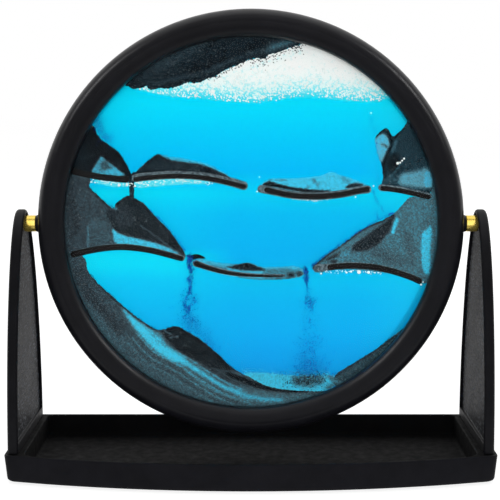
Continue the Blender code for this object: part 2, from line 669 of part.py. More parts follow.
def sand_outlines():
    """The outline of each body of sand, by name."""
    upper_1, upper_4 = "divider_upper_1", "divider_upper_4"
    lower_1, lower_3 = "divider_lower_1", "divider_lower_3"
    over_1, under_1 = seat(upper_1, True), seat(upper_1, False, 0.0, 0.25, 3)
    over_4, under_4 = seat(upper_4, True), seat(upper_4, False, 0.5, 1.0, 4)
    over_lower_1, under_lower_1 = seat(lower_1, True), seat(lower_1, False, 0.0, 0.12, 2)
    over_lower_3 = seat(lower_3, True)
    return {
        "sand_top_cap": wall(*TOP_CAP_WALL) + scaled(TOP_CAP_SLOPE),
        "sand_upper_left": (
            wall(UPPER_LEFT_WALL_TOP, bearing(over_1[0])) + over_1 + scaled(UPPER_LEFT_SLOPE)[::-1]
        ),
        "sand_upper_mid_left": (
            seat("divider_upper_2", True, 0.02, 0.98) + scaled(UPPER_MID_LEFT_SLOPE)[::-1]
        ),
        "sand_upper_mid_right": (
            seat("divider_upper_3", True, 0.02, 0.98) + scaled(UPPER_MID_RIGHT_SLOPE)[::-1]
        ),
        "sand_upper_right": (
            wall(bearing(over_4[-1]), UPPER_RIGHT_WALL_TOP) + scaled(UPPER_RIGHT_SLOPE) + over_4
        ),
        "sand_middle_left": (
            wall(bearing(under_1[0]), bearing(over_lower_1[0])) + over_lower_1
            + scaled(MIDDLE_LEFT_SLOPE)[::-1] + under_1[::-1]
        ),
        "sand_middle_centre": (
            seat("divider_lower_2", True, 0.02, 0.98) + scaled(MIDDLE_CENTRE_SLOPE)[::-1]
        ),
        "sand_middle_right": (
            wall(bearing(over_lower_3[-1]) - 360, bearing(under_4[-1])) + under_4[::-1]
            + scaled(MIDDLE_RIGHT_SLOPE) + over_lower_3
        ),
        "sand_bottom_left": (
            wall(bearing(under_lower_1[0]), BOTTOM_LEFT_WALL_END)
            + scaled(BOTTOM_LEFT_SLOPE)[::-1] + under_lower_1[::-1]
        ),
        "sand_bottom_right": wall(*BOTTOM_RIGHT_WALL) + scaled(BOTTOM_RIGHT_SLOPE)[::-1],
    }


def wall_pocket(name, end):
    """The blind space between a divider's end and the wall of the cell, which holds no liquid."""
    reach = DIVIDER_THICKNESS / 2 + 2 * FIT_GAP
    upper = divider_edge(name, reach, end, end, 1)[0]
    lower = divider_edge(name, -reach, end, end, 1)[0]
    past_wall = math.copysign(FILL_RADIUS + CUT_PAST, upper[0])
    return [lower, (past_wall, lower[1]), (past_wall, upper[1]), upper]


def bubble_outline():
    """The layer of trapped air under the top sand."""
    clear = 2 * FIT_GAP
    start, end = TOP_CAP_WALL
    under_sand = [(x, z - clear) for x, z in scaled(TOP_CAP_SLOPE)]
    margin = math.degrees(clear / FILL_RADIUS)
    right = wall(BUBBLE_WALL[0], start - margin)
    left = wall(end + margin, BUBBLE_WALL[1])
    return right + under_sand[::-1] + left + scaled(BUBBLE_LINE)


def picture(parent):
    outlines = {
        name: divider_edge(name, -DIVIDER_THICKNESS / 2) + divider_edge(name, DIVIDER_THICKNESS / 2)[::-1]
        for name in DIVIDER_LINES
    }
    finishes = {name: "black_plastic" for name in outlines}
    sands = sand_outlines()
    outlines.update(sands)
    finishes.update({name: "dark_sand" for name in sands})
    outlines["bubble_layer"] = bubble_outline()
    finishes["bubble_layer"] = "bubbles"

    full_circle = wall(0, 360)[:-1]
    liquid = placed("liquid_fill", flat_prism(full_circle, FILL_HALF_DEPTH), "blue_liquid", parent)
    for name, outline in outlines.items():
        outline = anticlockwise(outline)
        placed(name, flat_prism(outline, FILL_HALF_DEPTH), finishes[name], parent)
        cutter = flat_prism(grown(outline, FIT_GAP), FILL_HALF_DEPTH + CUT_PAST)
        boolean(liquid, placed(f"cut_{name}", cutter, None, parent), "DIFFERENCE")
    for name, end in DIVIDERS_NEAR_WALL.items():
        cutter = flat_prism(anticlockwise(wall_pocket(name, end)), FILL_HALF_DEPTH + CUT_PAST)
        boolean(liquid, placed(f"cut_pocket_{name}", cutter, None, parent), "DIFFERENCE")


def build():
    for obj in list(bpy.data.objects):
        bpy.data.objects.remove(obj, do_unlink=True)
    base_tray()
    feet()
    ring_axis = empty("ring_axis", (0, PIVOT_Y, PIVOT_Z))
    bezel("front_bezel", -1, True, ring_axis)
    bezel("rear_bezel", 1, False, ring_axis)
    glass_cell(ring_axis)
    picture(ring_axis)
    for side, sign in SIDES:
        arm(side, sign)
        arm_bush(side, sign)
        pivot(side, sign, ring_axis)


build()
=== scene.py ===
"""Looks of the moving sand picture: smooth mouldings, brass pivots, and the sand, liquid and bubbles
between the panes. Row frame, metres, +Z up, the front faces -Y."""

import json
import math

import bmesh
import bpy
import numpy as np
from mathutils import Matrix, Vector
from mathutils.geometry import delaunay_2d_cdt


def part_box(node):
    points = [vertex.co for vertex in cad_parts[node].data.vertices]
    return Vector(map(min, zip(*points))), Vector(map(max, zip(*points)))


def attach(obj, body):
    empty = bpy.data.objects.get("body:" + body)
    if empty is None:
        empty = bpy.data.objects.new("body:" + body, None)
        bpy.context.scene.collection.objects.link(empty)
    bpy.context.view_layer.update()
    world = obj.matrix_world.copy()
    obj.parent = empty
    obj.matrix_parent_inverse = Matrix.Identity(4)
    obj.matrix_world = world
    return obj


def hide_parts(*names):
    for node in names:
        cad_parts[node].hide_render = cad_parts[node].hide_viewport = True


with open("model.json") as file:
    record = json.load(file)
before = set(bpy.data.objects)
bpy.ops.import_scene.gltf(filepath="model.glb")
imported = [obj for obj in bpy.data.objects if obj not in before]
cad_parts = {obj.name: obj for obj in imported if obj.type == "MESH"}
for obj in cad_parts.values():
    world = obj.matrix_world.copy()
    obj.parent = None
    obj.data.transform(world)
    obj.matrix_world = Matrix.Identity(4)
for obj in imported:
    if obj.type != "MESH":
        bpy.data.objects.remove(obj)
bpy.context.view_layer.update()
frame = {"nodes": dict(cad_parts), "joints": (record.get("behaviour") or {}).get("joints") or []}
NODES = frame["nodes"]
SCENE = bpy.context.scene
RNG = np.random.default_rng(11)
MM = 0.001
STAND, RING = "stand", "sand_ring"
SIDES = (("left", -1), ("right", 1))
ROUND_STEPS, PIN_STEPS = 192, 64
SHARP_ANGLE = math.radians(32)
WHITE = (1.0, 1.0, 1.0, 1.0)

PIVOT = Vector(frame["joints"][0]["pos_m"])
RING_LOW, RING_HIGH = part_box("front_bezel")
RING_RADIUS = (RING_HIGH.x - RING_LOW.x) / 2
TRAY_LOW, TRAY_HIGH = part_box("base_tray")
BASE_TOP = TRAY_HIGH.z
ARM_LOW, ARM_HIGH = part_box("right_arm")
FILL_RADIUS = 79.3 * MM
WINDOW_RADIUS = 78.6 * MM

# How far the contents of the cell reach from its mid-plane towards either pane.
LIQUID_DEPTH, THIN_DEPTH, SAND_DEPTH, CAP_DEPTH = 3.18 * MM, 3.20 * MM, 3.24 * MM, 3.26 * MM
BEAD_DEPTH, CORE_DEPTH, BUBBLE_DEPTH = 3.30 * MM, 3.38 * MM, 3.42 * MM

# The picture's layout grid: x runs to the right and y runs down, seen from the front, and the ring's
# centre lies at GRID_CENTRE. Rows near the foot stand for slightly larger lengths than rows near the top.
# The outlines of sand and foam and the lines of dividers and streams are drawn as points on this grid.
GRID_CENTRE = np.array((250.9, 224.2))
GRID_ACROSS, GRID_DOWN = 0.42432 * MM, 0.42664 * MM
ROW_STRETCH, COLUMN_STRETCH = 9.724e-5, 0.2279
# Towards the rear pane the sides of sand and foam run out a little, away from a point above the ring's centre.
LEAN_CENTRE, LEAN = np.array((0.0, 58.3 * MM)), 0.0112


# Layout


def spots(numbers):
    """Layout points from a run of numbers (x, y, x, y and so on) or from points."""
    return np.array(numbers, float).reshape(-1, 2)


def grid_offsets(points):
    """Layout points as lengths to the right of and above the ring's centre."""
    points = np.asarray(points, float)
    rows = GRID_CENTRE[1] - points[:, 1]
    up = rows * GRID_DOWN / (1 + ROW_STRETCH * rows)
    right = (points[:, 0] - GRID_CENTRE[0]) * GRID_ACROSS * (1 - COLUMN_STRETCH * up)
    return np.column_stack((right, up))


def grid_height(row):
    """The height in the row frame of a row of the layout grid."""
    return PIVOT.z + grid_offsets([(0, row)])[0, 1]


def grid_across(column):
    """The place from left to right of a column of the grid, at the height of the ring's centre."""
    return PIVOT.x + grid_offsets([(column, GRID_CENTRE[1])])[0, 0]


def lay(points, depth):
    """Layout points as points in the row frame at a depth behind (+) or before (-) the mid-plane."""
    offsets = grid_offsets(points)
    return np.column_stack((
        PIVOT.x + offsets[:, 0], np.full(len(offsets), PIVOT.y) + depth, PIVOT.z + offsets[:, 1]
    ))


def held(points, margin=0.0):
    """Which layout points lie inside the round cell."""
    return np.hypot(*grid_offsets(points).T) < FILL_RADIUS - margin


def row_at(line, x):
    """The row of a layout line at a column."""
    return np.interp(x, line[:, 0], line[:, 1])


# Materials


# Nearly all of a noise texture lies between these two values.
NOISE_LOW, NOISE_HIGH = 0.3, 0.7


def srgb(red, green, blue):
    """A display colour of 0 to 255 as a linear colour with alpha."""
    linear = [c / 255 / 12.92 if c < 10 else ((c / 255 + 0.055) / 1.055) ** 2.4 for c in (red, green, blue)]
    return (*linear, 1.0)


class Graph:
    """Short ways to add nodes to a node tree."""

    def __init__(self, tree):
        self.tree = tree

    def feed(self, socket, value):
        if isinstance(value, bpy.types.NodeSocket):
            self.tree.links.new(value, socket)
        else:
            socket.default_value = value

    def node(self, kind, inputs=None, **settings):
        made = self.tree.nodes.new(kind)
        for key, value in settings.items():
            setattr(made, key, value)
        for key, value in (inputs or {}).items():
            self.feed(made.inputs[key], value)
        return made

    def maths(self, operation, first, second=0.0, clamp=False):
        made = self.node("ShaderNodeMath", {0: first, 1: second}, operation=operation, use_clamp=clamp)
        return made.outputs[0]

    def fit(self, value, low, high, to_low=0.0, to_high=1.0, **settings):
        inputs = {"Value": value, "From Min": low, "From Max": high, "To Min": to_low, "To Max": to_high}
        return self.node("ShaderNodeMapRange", inputs, **settings).outputs["Result"]

    def between(self, share, first, second):
        """A number mixed from two."""
        return self.node("ShaderNodeMix", {0: share, 2: first, 3: second}).outputs[0]

    def mix(self, share, first, second):
        """A colour mixed from two."""
        return self.node("ShaderNodeMix", {0: share, 6: first, 7: second}, data_type="RGBA").outputs[2]


class Paint(Graph):
    """A Principled material with textures in object space."""

    def __init__(self, name, **sockets):
        self.made = bpy.data.materials.new(name)
        self.made.use_nodes = True
        super().__init__(self.made.node_tree)
        self.shader = self.tree.nodes["Principled BSDF"]
        self.place = self.node("ShaderNodeTexCoord").outputs["Object"]
        self.set(**sockets)

    def set(self, **sockets):
        for key, value in sockets.items():
            self.feed(self.shader.inputs[key.replace("_", " ")], value)

    def noise(self, scale, detail=3.0, roughness=0.6, place=None):
        inputs = {"Vector": place or self.place, "Scale": scale, "Detail": detail, "Roughness": roughness}
        return self.node("ShaderNodeTexNoise", inputs).outputs["Fac"]

    def cells(self, scale, place=None):
        return self.node("ShaderNodeTexVoronoi", {"Vector": place or self.place, "Scale": scale}).outputs

    def picks(self, cells):
        """Three random numbers for each cell, as Red, Green and Blue."""
        return self.node("ShaderNodeSeparateColor", {"Color": cells["Color"]}).outputs

    def stretched(self, *scale):
        return self.node("ShaderNodeMapping", {"Vector": self.place, "Scale": scale}).outputs["Vector"]

    def ramp(self, value, stops):
        """Colours along a value, each a display colour of three numbers or a linear one with alpha."""
        made = self.node("ShaderNodeValToRGB", {"Fac": value})
        points = made.color_ramp.elements
        while len(points) < len(stops):
            points.new(1.0)
        for point, (position, colour) in zip(points, stops):
            point.position = position
            point.color = srgb(*colour) if len(colour) == 3 else colour
        return made.outputs["Color"]

    def mottled(self, scale, detail, first, second):
        """A colour that wanders between two."""
        return self.ramp(self.noise(scale, detail), ((NOISE_LOW, first), (NOISE_HIGH, second)))

    def uneven(self, scale, detail, low, high):
        """A number that wanders between two."""
        return self.fit(self.noise(scale, detail), NOISE_LOW, NOISE_HIGH, low, high)

    def about(self, value, width):
        """A value of 0 to 1 as an offset to either side, over a width."""
        return self.maths("MULTIPLY", self.maths("SUBTRACT", value, 0.5), width)

    def attribute(self, name):
        return self.node("ShaderNodeAttribute", attribute_name=name).outputs["Fac"]

    def axis(self, letter):
        return self.node("ShaderNodeSeparateXYZ", {"Vector": self.place}).outputs[letter]

    def bump(self, height, strength, distance):
        inputs = {"Height": height, "Strength": strength, "Distance": distance}
        self.set(Normal=self.node("ShaderNodeBump", inputs).outputs["Normal"])


def moulded_black(name, low, high, rough_low, rough_high, grain, shine=0.4):
    """Satin black plastic with a faint mottle and a fine moulded grain."""
    paint = Paint(name, Specular_IOR_Level=shine)
    paint.set(Base_Color=paint.mottled(90, 5, low, high), Roughness=paint.uneven(260, 4, rough_low, rough_high))
    paint.bump(paint.noise(grain, 2), 0.12, 0.05 * MM)
    return paint.made


def grained_panel():
    """The spark-grained panel sunk in each arm."""
    paint = Paint("grained_panel", Specular_IOR_Level=0.09)
    grain = paint.cells(1400, paint.stretched(1.0, 0.36, 1.0))
    spark = paint.picks(grain)["Red"]
    shade = paint.maths("MULTIPLY", spark, paint.uneven(60, 4, 0.75, 1.1))
    paint.set(Base_Color=paint.ramp(shade, ((0.1, (13, 13, 15)), (0.5, (50, 51, 54)), (0.98, (128, 130, 136)))))
    paint.set(Roughness=paint.fit(spark, 0.0, 1.0, 0.42, 0.68))
    paint.bump(grain["Distance"], 0.35, 0.12 * MM)
    return paint.made


def polished_brass():
    """Brass with the fine marks of turning round its axis."""
    paint = Paint("polished_brass", Metallic=0.9)
    marks = paint.noise(1.0, 3, place=paint.stretched(5200.0, 160.0, 160.0))
    paint.set(Base_Color=paint.mottled(300, 3, (250, 214, 92), (255, 228, 122)))
    paint.set(Roughness=paint.fit(marks, NOISE_LOW, NOISE_HIGH, 0.16, 0.26))
    paint.bump(marks, 0.06, 0.02 * MM)
    return paint.made


def plain_grain(name, first, second, rough_low, rough_high, scale, metallic=0.0):
    """A two-tone finish with uneven gloss, for rubber, nylon and steel."""
    paint = Paint(name, Metallic=metallic)
    paint.set(Base_Color=paint.mottled(scale, 4, first, second))
    paint.set(Roughness=paint.uneven(scale * 3, 3, rough_low, rough_high))
    paint.bump(paint.noise(scale * 8, 2), 0.1, 0.04 * MM)
    return paint.made


def clear_glass():
    """Float glass with the faintest unevenness of tint."""
    paint = Paint("clear_glass", Transmission_Weight=1.0, IOR=1.12, Roughness=0.0)
    paint.set(Base_Color=paint.mottled(40, 2, (0.985, 0.995, 0.995, 1.0), (0.995, 1.0, 1.0, 1.0)))
    return paint.made


def dyed_liquid():
    """Blue liquid, paler under the bubbles and under each row of dividers, deeper at the bottom; paler still
    near the ring's left and right edges, a painted light against the ring's shade there.
    """
    paint = Paint("dyed_liquid", Transmission_Weight=0.5, IOR=1.0, Roughness=0.0)
    height = paint.maths("ADD", paint.axis("Z"), paint.about(paint.noise(22, 2), 6.0 * MM))
    top, bottom = 100, 390
    level = paint.fit(height, grid_height(bottom), grid_height(top))
    roof = ((103, (0, 220, 245)), (130, (0, 206, 241)), (170, (0, 190, 240)), (184, (1, 204, 244)))
    floor = ((332, (10, 181, 239)), (352, (11, 172, 236)), (386, (12, 158, 227)))
    middle = (
        (192, (2, 210, 242)), (212, (2, 192, 238)), (250, (3, 183, 237)), (262, (4, 184, 237)),
        (276, (5, 198, 240)), (302, (7, 187, 238)),
    )
    # The left rows are painted paler than the middle ones: painted light that lifts the shade the ring leaves
    # on the liquid's left side.
    left = (
        (192, (2, 218, 244)), (212, (2, 200, 240)), (245, (3, 190, 238)), (252, (8, 222, 246)),
        (264, (8, 220, 246)), (278, (7, 203, 242)), (302, (7, 193, 240)),
    )
    sides = []
    for rows in (middle, left):
        rising = reversed(roof + rows + floor)
        sides.append(paint.ramp(level, [((bottom - row) / (bottom - top), tone) for row, tone in rising]))
    # Painted light: towards the left the paler left rows take over, and towards the right edge the colour is
    # mixed towards a pale cyan, both lifting the ring's shade on the liquid.
    painted_light_left = paint.fit(paint.axis("X"), grid_across(235), grid_across(175), 0.0, 1.0)
    painted_light_right = paint.fit(paint.axis("X"), grid_across(360), grid_across(420), 0.0, 0.24)
    paint.set(Base_Color=paint.mix(painted_light_right, paint.mix(painted_light_left, *sides), srgb(36, 226, 255)))
    return paint.made


def loose_sand(name, *tones):
    """Black and teal grains; the tone attribute runs from black sand to pale blue sand."""
    paint = Paint(name, Specular_IOR_Level=0.08)
    grain = paint.cells(1900)
    pick = paint.picks(grain)
    stray = paint.maths("ADD", paint.about(pick["Red"], 0.2), paint.about(paint.noise(160, 5, 0.65), 0.14))
    tone = paint.maths("ADD", paint.attribute("tone"), stray, clamp=True)
    colour = paint.ramp(tone, list(zip((0.0, 0.14, 0.3, 0.45, 0.6, 0.78, 1.0), tones)))
    glitter = paint.fit(pick["Green"], 0.95, 1.0, 0.0, 0.16)
    paint.set(Base_Color=paint.mix(glitter, colour, srgb(150, 165, 168)))
    paint.set(Roughness=paint.fit(pick["Blue"], 0.0, 1.0, 0.62, 0.95))
    paint.bump(grain["Distance"], 0.5, 0.2 * MM)
    return paint.made


def falling_grains():
    """Dark grains seen through the dyed liquid."""
    paint = Paint("falling_grains", Roughness=0.8, Specular_IOR_Level=0.05)
    shade = paint.cells(900)["Distance"]
    paint.set(Base_Color=paint.ramp(shade, ((0.15, (6, 46, 118)), (0.75, (16, 86, 172)))))
    return paint.made


def foam():
    """Packed air bubbles; the tone attribute runs from single bubbles on blue to dense white foam, and its top,
    above 0.92, is a painted light.
    """
    paint = Paint("foam", Roughness=0.4, Specular_IOR_Level=0.1)
    tone = paint.attribute("tone")
    large, small = paint.cells(780)["Distance"], paint.cells(1500)["Distance"]
    reach = paint.fit(tone, 0.0, 1.0, 0.10, 0.86)
    near_small = paint.maths("SUBTRACT", paint.maths("MULTIPLY", reach, 0.62), small)
    inside = paint.maths("MAXIMUM", paint.maths("SUBTRACT", reach, large), near_small)
    cover = paint.fit(inside, -0.10, 0.08)
    # From 0.92 to 1 the colours are painted light: near-white foam that lifts the ring's shade at the top
    # right.
    white = paint.ramp(tone, (
        (0.0, (164, 226, 228)), (0.5, (210, 234, 233)), (0.92, (230, 236, 234)), (1.0, (254, 255, 254)),
    ))
    warm = paint.mix(paint.fit(paint.noise(160, 3), 0.35, 0.7, 0.25, 0.0), white, srgb(238, 226, 224))
    blue = paint.ramp(tone, (
        (0.0, (14, 204, 228)), (0.3, (92, 216, 228)), (0.6, (160, 224, 228)), (0.8, (196, 228, 229)),
        (0.92, (216, 230, 229)), (1.0, (252, 255, 254)),
    ))
    paint.set(Base_Color=paint.mix(cover, blue, warm))
    paint.bump(inside, 0.35, 0.25 * MM)
    return paint.made


def bubble_skin():
    """A round air bubble: bright in the middle, tinted by the liquid at its rim."""
    paint = Paint("bubble_skin", Roughness=0.25, Specular_IOR_Level=0.2)
    body = paint.ramp(paint.attribute("rim"), (
        (0.0, (232, 239, 238)), (0.55, (222, 239, 238)), (0.85, (188, 231, 232)), (1.0, (84, 206, 222)),
    ))
    warmth = paint.fit(paint.noise(240, 2), 0.4, 0.6, 0.0, 0.35)
    paint.set(Base_Color=paint.mix(warmth, body, srgb(228, 220, 217)))
    return paint.made


def divider_black():
    """Black plastic seen through glass and liquid."""
    paint = Paint("divider_black", Specular_IOR_Level=0.12)
    paint.set(Base_Color=paint.mottled(200, 4, (5, 5, 6), (16, 14, 14)))
    paint.set(Roughness=paint.uneven(500, 3, 0.35, 0.55))
    paint.bump(paint.noise(2400, 2), 0.1, 0.04 * MM)
    return paint.made


def sealant_and_highlight():
    """The grey, sand-dusted bead that bonds a divider to the panes; its grey also stands in for a painted
    highlight on the divider's top edge.
    """
    paint = Paint("sealant_and_highlight", Specular_IOR_Level=0.15)
    dust = paint.cells(1700)
    pick = paint.picks(dust)["Red"]
    paint.set(Base_Color=paint.ramp(pick, ((0.0, (34, 44, 50)), (0.5, (70, 86, 93)), (1.0, (112, 128, 134)))))
    paint.set(Roughness=paint.fit(pick, 0.0, 1.0, 0.35, 0.7))
    paint.bump(dust["Distance"], 0.3, 0.15 * MM)
    return paint.made


BLACK = moulded_black("moulded_black", (19, 19, 23), (25, 25, 30), 0.30, 0.42, 2600)
TRAY_BLACK = moulded_black("tray_black", (19, 19, 23), (25, 25, 30), 0.5, 0.66, 2200, 0.16)
# Painted shade: the recess gets a darker black than the rest of the tray, to keep its upward faces dark under
# the light from above.
TRAY_FLOOR_SHADE = moulded_black("tray_floor_painted_shade", (9, 9, 10), (14, 14, 15), 0.6, 0.8, 1400, 0.08)
ARM_BLACK = moulded_black("arm_black", (16, 16, 19), (22, 22, 26), 0.4, 0.54, 2200, 0.26)
PANEL = grained_panel()
BRASS = polished_brass()
RUBBER = plain_grain("black_rubber", (16, 16, 17), (26, 26, 27), 0.7, 0.9, 300)
NYLON = plain_grain("nylon", (214, 212, 202), (228, 226, 218), 0.4, 0.55, 300)
STEEL = plain_grain("steel", (176, 178, 182), (198, 200, 204), 0.22, 0.4, 400, 1.0)
GLASS = clear_glass()
LIQUID = dyed_liquid()
SAND = loose_sand(
    "loose_sand",
    (3, 5, 8), (14, 25, 32), (36, 51, 59), (49, 76, 86), (58, 102, 115), (56, 145, 172), (57, 190, 225),
)
DUN_SAND = loose_sand(
    "loose_sand_dun",
    (4, 5, 8), (18, 26, 31), (42, 51, 57), (54, 75, 84), (64, 102, 113), (60, 145, 171), (60, 192, 225),
)
TEAL_SAND = loose_sand(
    "loose_sand_teal",
    (3, 6, 9), (12, 29, 37), (30, 57, 68), (50, 85, 98), (72, 117, 130), (82, 144, 163), (68, 172, 206),
)
GRAINS = falling_grains()
FOAM = foam()
BUBBLE = bubble_skin()
DIVIDER = divider_black()
BEAD_AND_HIGHLIGHT = sealant_and_highlight()


# Mesh helpers


def piece(name, shape, materials, body, replaced=(), indices=None, attribute=None):
    """A closed mesh (vertices, faces) as a piece of the object, riding on a body."""
    verts, faces = shape
    mesh = bpy.data.meshes.new(name)
    mesh.from_pydata([tuple(v) for v in verts], [], [tuple(f) for f in faces])
    for material in materials:
        mesh.materials.append(material)
    if indices is not None:
        mesh.polygons.foreach_set("material_index", indices)
    if attribute:
        key, values = attribute
        mesh.attributes.new(key, "FLOAT", "POINT").data.foreach_set("value", np.asarray(values, np.float32))
    bm = bmesh.new()
    bm.from_mesh(mesh)
    bmesh.ops.recalc_face_normals(bm, faces=bm.faces)
    bm.to_mesh(mesh)
    bm.free()
    mesh.shade_smooth()
    mesh.set_sharp_from_angle(angle=SHARP_ANGLE)
    made = bpy.data.objects.new(name, mesh)
    SCENE.collection.objects.link(made)
    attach(made, body)
    if replaced:
        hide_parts(*replaced)
    return made


def loft(loops, closed=False):
    """Vertices and faces through loops of equally many points, capped unless the last joins the first."""
    count = len(loops[0])
    verts = [point for loop in loops for point in loop]
    rows = range(len(loops)) if closed else range(len(loops) - 1)
    faces = []
    for row in rows:
        low, high = row * count, (row + 1) % len(loops) * count
        for i in range(count):
            j = (i + 1) % count
            faces.append((low + i, low + j, high + j, high + i))
    if not closed:
        faces.append(tuple(range(count)))
        faces.append(tuple(range((len(loops) - 1) * count, len(loops) * count)))
    return verts, faces


def turned(profile, axis, centre, steps):
    """A closed (radius, along) profile turned round an axis through a centre."""
    axis = Vector(axis)
    first = axis.orthogonal().normalized()
    second = axis.cross(first)
    loops = []
    for radius, along in profile:
        loop = []
        for i in range(steps):
            angle = math.tau * i / steps
            loop.append(centre + axis * along + (first * math.cos(angle) + second * math.sin(angle)) * radius)
        loops.append(loop)
    return loft(loops, closed=True)


def quarter(start, corner, end, steps):
    """A quarter of an ellipse from start to end, bulging towards corner."""
    centre = (start[0] + end[0] - corner[0], start[1] + end[1] - corner[1])
    points = []
    for i in range(steps + 1):
        angle = math.pi / 2 * i / steps
        c, s = math.cos(angle), math.sin(angle)
        points.append(tuple(centre[k] + (start[k] - centre[k]) * c + (end[k] - centre[k]) * s for k in (0, 1)))
    return points


def mm(*pairs):
    """Pairs of millimetres as metres."""
    return [(first * MM, second * MM) for first, second in pairs]


def bends(steps):
    """1 - sine and 1 - cosine at even steps over a quarter turn, for the loops of a rounded edge."""
    angles = [math.pi / 2 * i / steps for i in range(steps + 1)]
    return [(1 - math.sin(angle), 1 - math.cos(angle)) for angle in angles]


# Ring


def bezel_profile(tongue):
    """A half of the ring in section, as (radius, distance from the mid-plane)."""
    outer, half, seam = RING_RADIUS, 11.0 * MM, 0.15 * MM
    window, lip = WINDOW_RADIUS, 6.7 * MM
    start, end, hollow = outer - 4.4 * MM, window + 5.6 * MM, 0.04 * MM
    crown = quarter((outer, half - 6.0 * MM), (outer, half), (start, half), 18)
    face = []
    for i in range(1, 8):
        share = i / 8
        face.append((start + (end - start) * share, half - hollow * math.sin(math.pi * share) ** 2))
    bead = quarter((end, half), (window, half), (window, half - 3.8 * MM), 18)
    inside = [(window, lip + 0.2 * MM), (window + 0.2 * MM, lip), (83.3 * MM, lip)]
    inside += mm((83.3, 4.64), (84.1, 4.64), (84.1, 8.4), (87.4, 8.4), (87.4, 0.15))
    if tongue:
        joint = mm((88.4, 0.15), (88.4, -1.0), (89.0, -1.0), (89.0, 0.15))
    else:
        joint = mm((88.1, 0.15), (88.1, 1.3), (89.3, 1.3), (89.3, 0.15))
    edge = quarter((outer - 0.25 * MM, seam), (outer, seam), (outer, seam + 0.25 * MM), 3)
    return crown + face + bead + inside + joint + edge


def ring_halves():
    """The two mouldings of the ring, the front one with a tongue and the rear one with its groove."""
    for name, forward, tongue in (("front_bezel", -1, True), ("rear_bezel", 1, False)):
        shape = turned(bezel_profile(tongue), (0, forward, 0), PIVOT, ROUND_STEPS)
        piece(f"smooth_{name}", shape, [BLACK], RING, [name])


def pivots():
    """The collar and the brass stud on each side, turned round the hinge line."""
    face, start, end = 91.5 * MM, 91.6 * MM, 96.75 * MM
    collar = mm((2.0, 87.4), (2.7, 87.4), (2.7, 90.05), (3.55, 90.05))
    collar += quarter((3.7 * MM, 90.2 * MM), (3.7 * MM, face), (3.4 * MM, face), 5)
    collar += [(2.0 * MM, face)]
    stud = mm((0.02, 84.4), (1.7, 84.4), (1.7, 91.6))
    stud += quarter((3.25 * MM, start), (3.5 * MM, start), (3.5 * MM, start + 0.25 * MM), 4)
    stud += quarter((3.5 * MM, end - 0.7 * MM), (3.5 * MM, end), (2.8 * MM, end), 8)
    stud += mm((1.8, 96.75), (1.8, 99.0), (0.02, 99.0))
    for side, sign in SIDES:
        shape = turned(collar, (sign, 0, 0), PIVOT, PIN_STEPS)
        piece(f"smooth_{side}_collar", shape, [BLACK], RING, [f"{side}_pivot_collar"])
        shape = turned(stud, (sign, 0, 0), PIVOT, PIN_STEPS)
        piece(f"smooth_{side}_stud", shape, [BRASS], RING, [f"{side}_pivot_stud"])


# Stand


def tray_outline(side, rear, inset, front_corner, rear_corner):
    """A loop seen from above with straight sides and rear and a bowed front."""
    half, bow, depth = TRAY_HIGH.x, 14.0 * MM, 68.0 * MM
    radius = (half**2 + bow**2) / (2 * bow)
    centre_y = PIVOT.y - depth / 2 - bow + radius
    steps = 48
    across = np.linspace(-side, side, steps + 1)
    front = [(x, centre_y - math.sqrt((radius - inset) ** 2 - x**2)) for x in across]
    corners = [(-side, rear), front[0], front[-1], (side, rear)]
    loop = rounded(corners[0], corners[3], corners[1], rear_corner)
    loop += rounded(corners[1], corners[0], front[3], front_corner)
    loop += front[4:-4]
    loop += rounded(corners[2], front[-4], corners[3], front_corner)
    loop += rounded(corners[3], corners[2], corners[0], rear_corner)
    return loop


def rounded(corner, before, after, radius, steps=10):
    """The arc that rounds a corner between two neighbours."""
    corner, before, after = Vector(corner), Vector(before), Vector(after)
    back, ahead = (before - corner).normalized(), (after - corner).normalized()
    half = back.angle(ahead) / 2
    centre = corner + (back + ahead).normalized() * (radius / math.sin(half))
    reach = radius / math.tan(half)
    start, end = corner + back * reach - centre, corner + ahead * reach - centre
    turn = start.angle_signed(end)
    points = []
    for i in range(steps + 1):
        angle = -turn * i / steps
        c, s = math.cos(angle), math.sin(angle)
        points.append((centre.x + start.x * c - start.y * s, centre.y + start.x * s + start.y * c))
    return points


def tray():
    """The tray: sloping sides, a rounded rim and a shallow recess with a coved floor."""
    bottom, height, draft = TRAY_LOW.z, TRAY_HIGH.z - TRAY_LOW.z, 1.0 * MM
    foot, rim, cove, wall = 1.5 * MM, 0.6 * MM, 1.4 * MM, 2.0 * MM
    rear = PIVOT.y + 34.0 * MM

    def outside(inset, z):
        outline = tray_outline(TRAY_HIGH.x - inset, rear - inset, inset, 3.5 * MM, 3.5 * MM)
        return [(x, y, bottom + z) for x, y in outline]

    def inside(inset, z):
        deep = wall + inset
        outline = tray_outline(TRAY_HIGH.x - 8.2 * MM - inset, rear - deep, deep, 6.5 * MM, 3.0 * MM)
        return [(x, y, bottom + z) for x, y in outline]

    loops = [outside(foot * s + draft * (1 - foot * c / height), foot * c) for s, c in bends(6)]
    loops += [outside(rim * c, height - rim * s) for s, c in bends(5)]
    loops += [inside(-rim * s, height - rim * c) for s, c in bends(5)]
    loops += [inside(0.5 * MM + cove * c, 2.5 * MM + cove * s) for s, c in bends(6)]
    verts, faces = loft(loops)
    # The recess is every band of faces from the crest of the rim inwards, and the last cap; it takes the darker
    # black, a painted shade.
    crest, inmost, count = 12, 25, len(loops[0])
    recess = [int(crest <= i // count < inmost or i == len(faces) - 1) for i in range(len(faces))]
    piece("smooth_tray", (verts, faces), [TRAY_BLACK, TRAY_FLOOR_SHADE], STAND, ["base_tray"], recess)


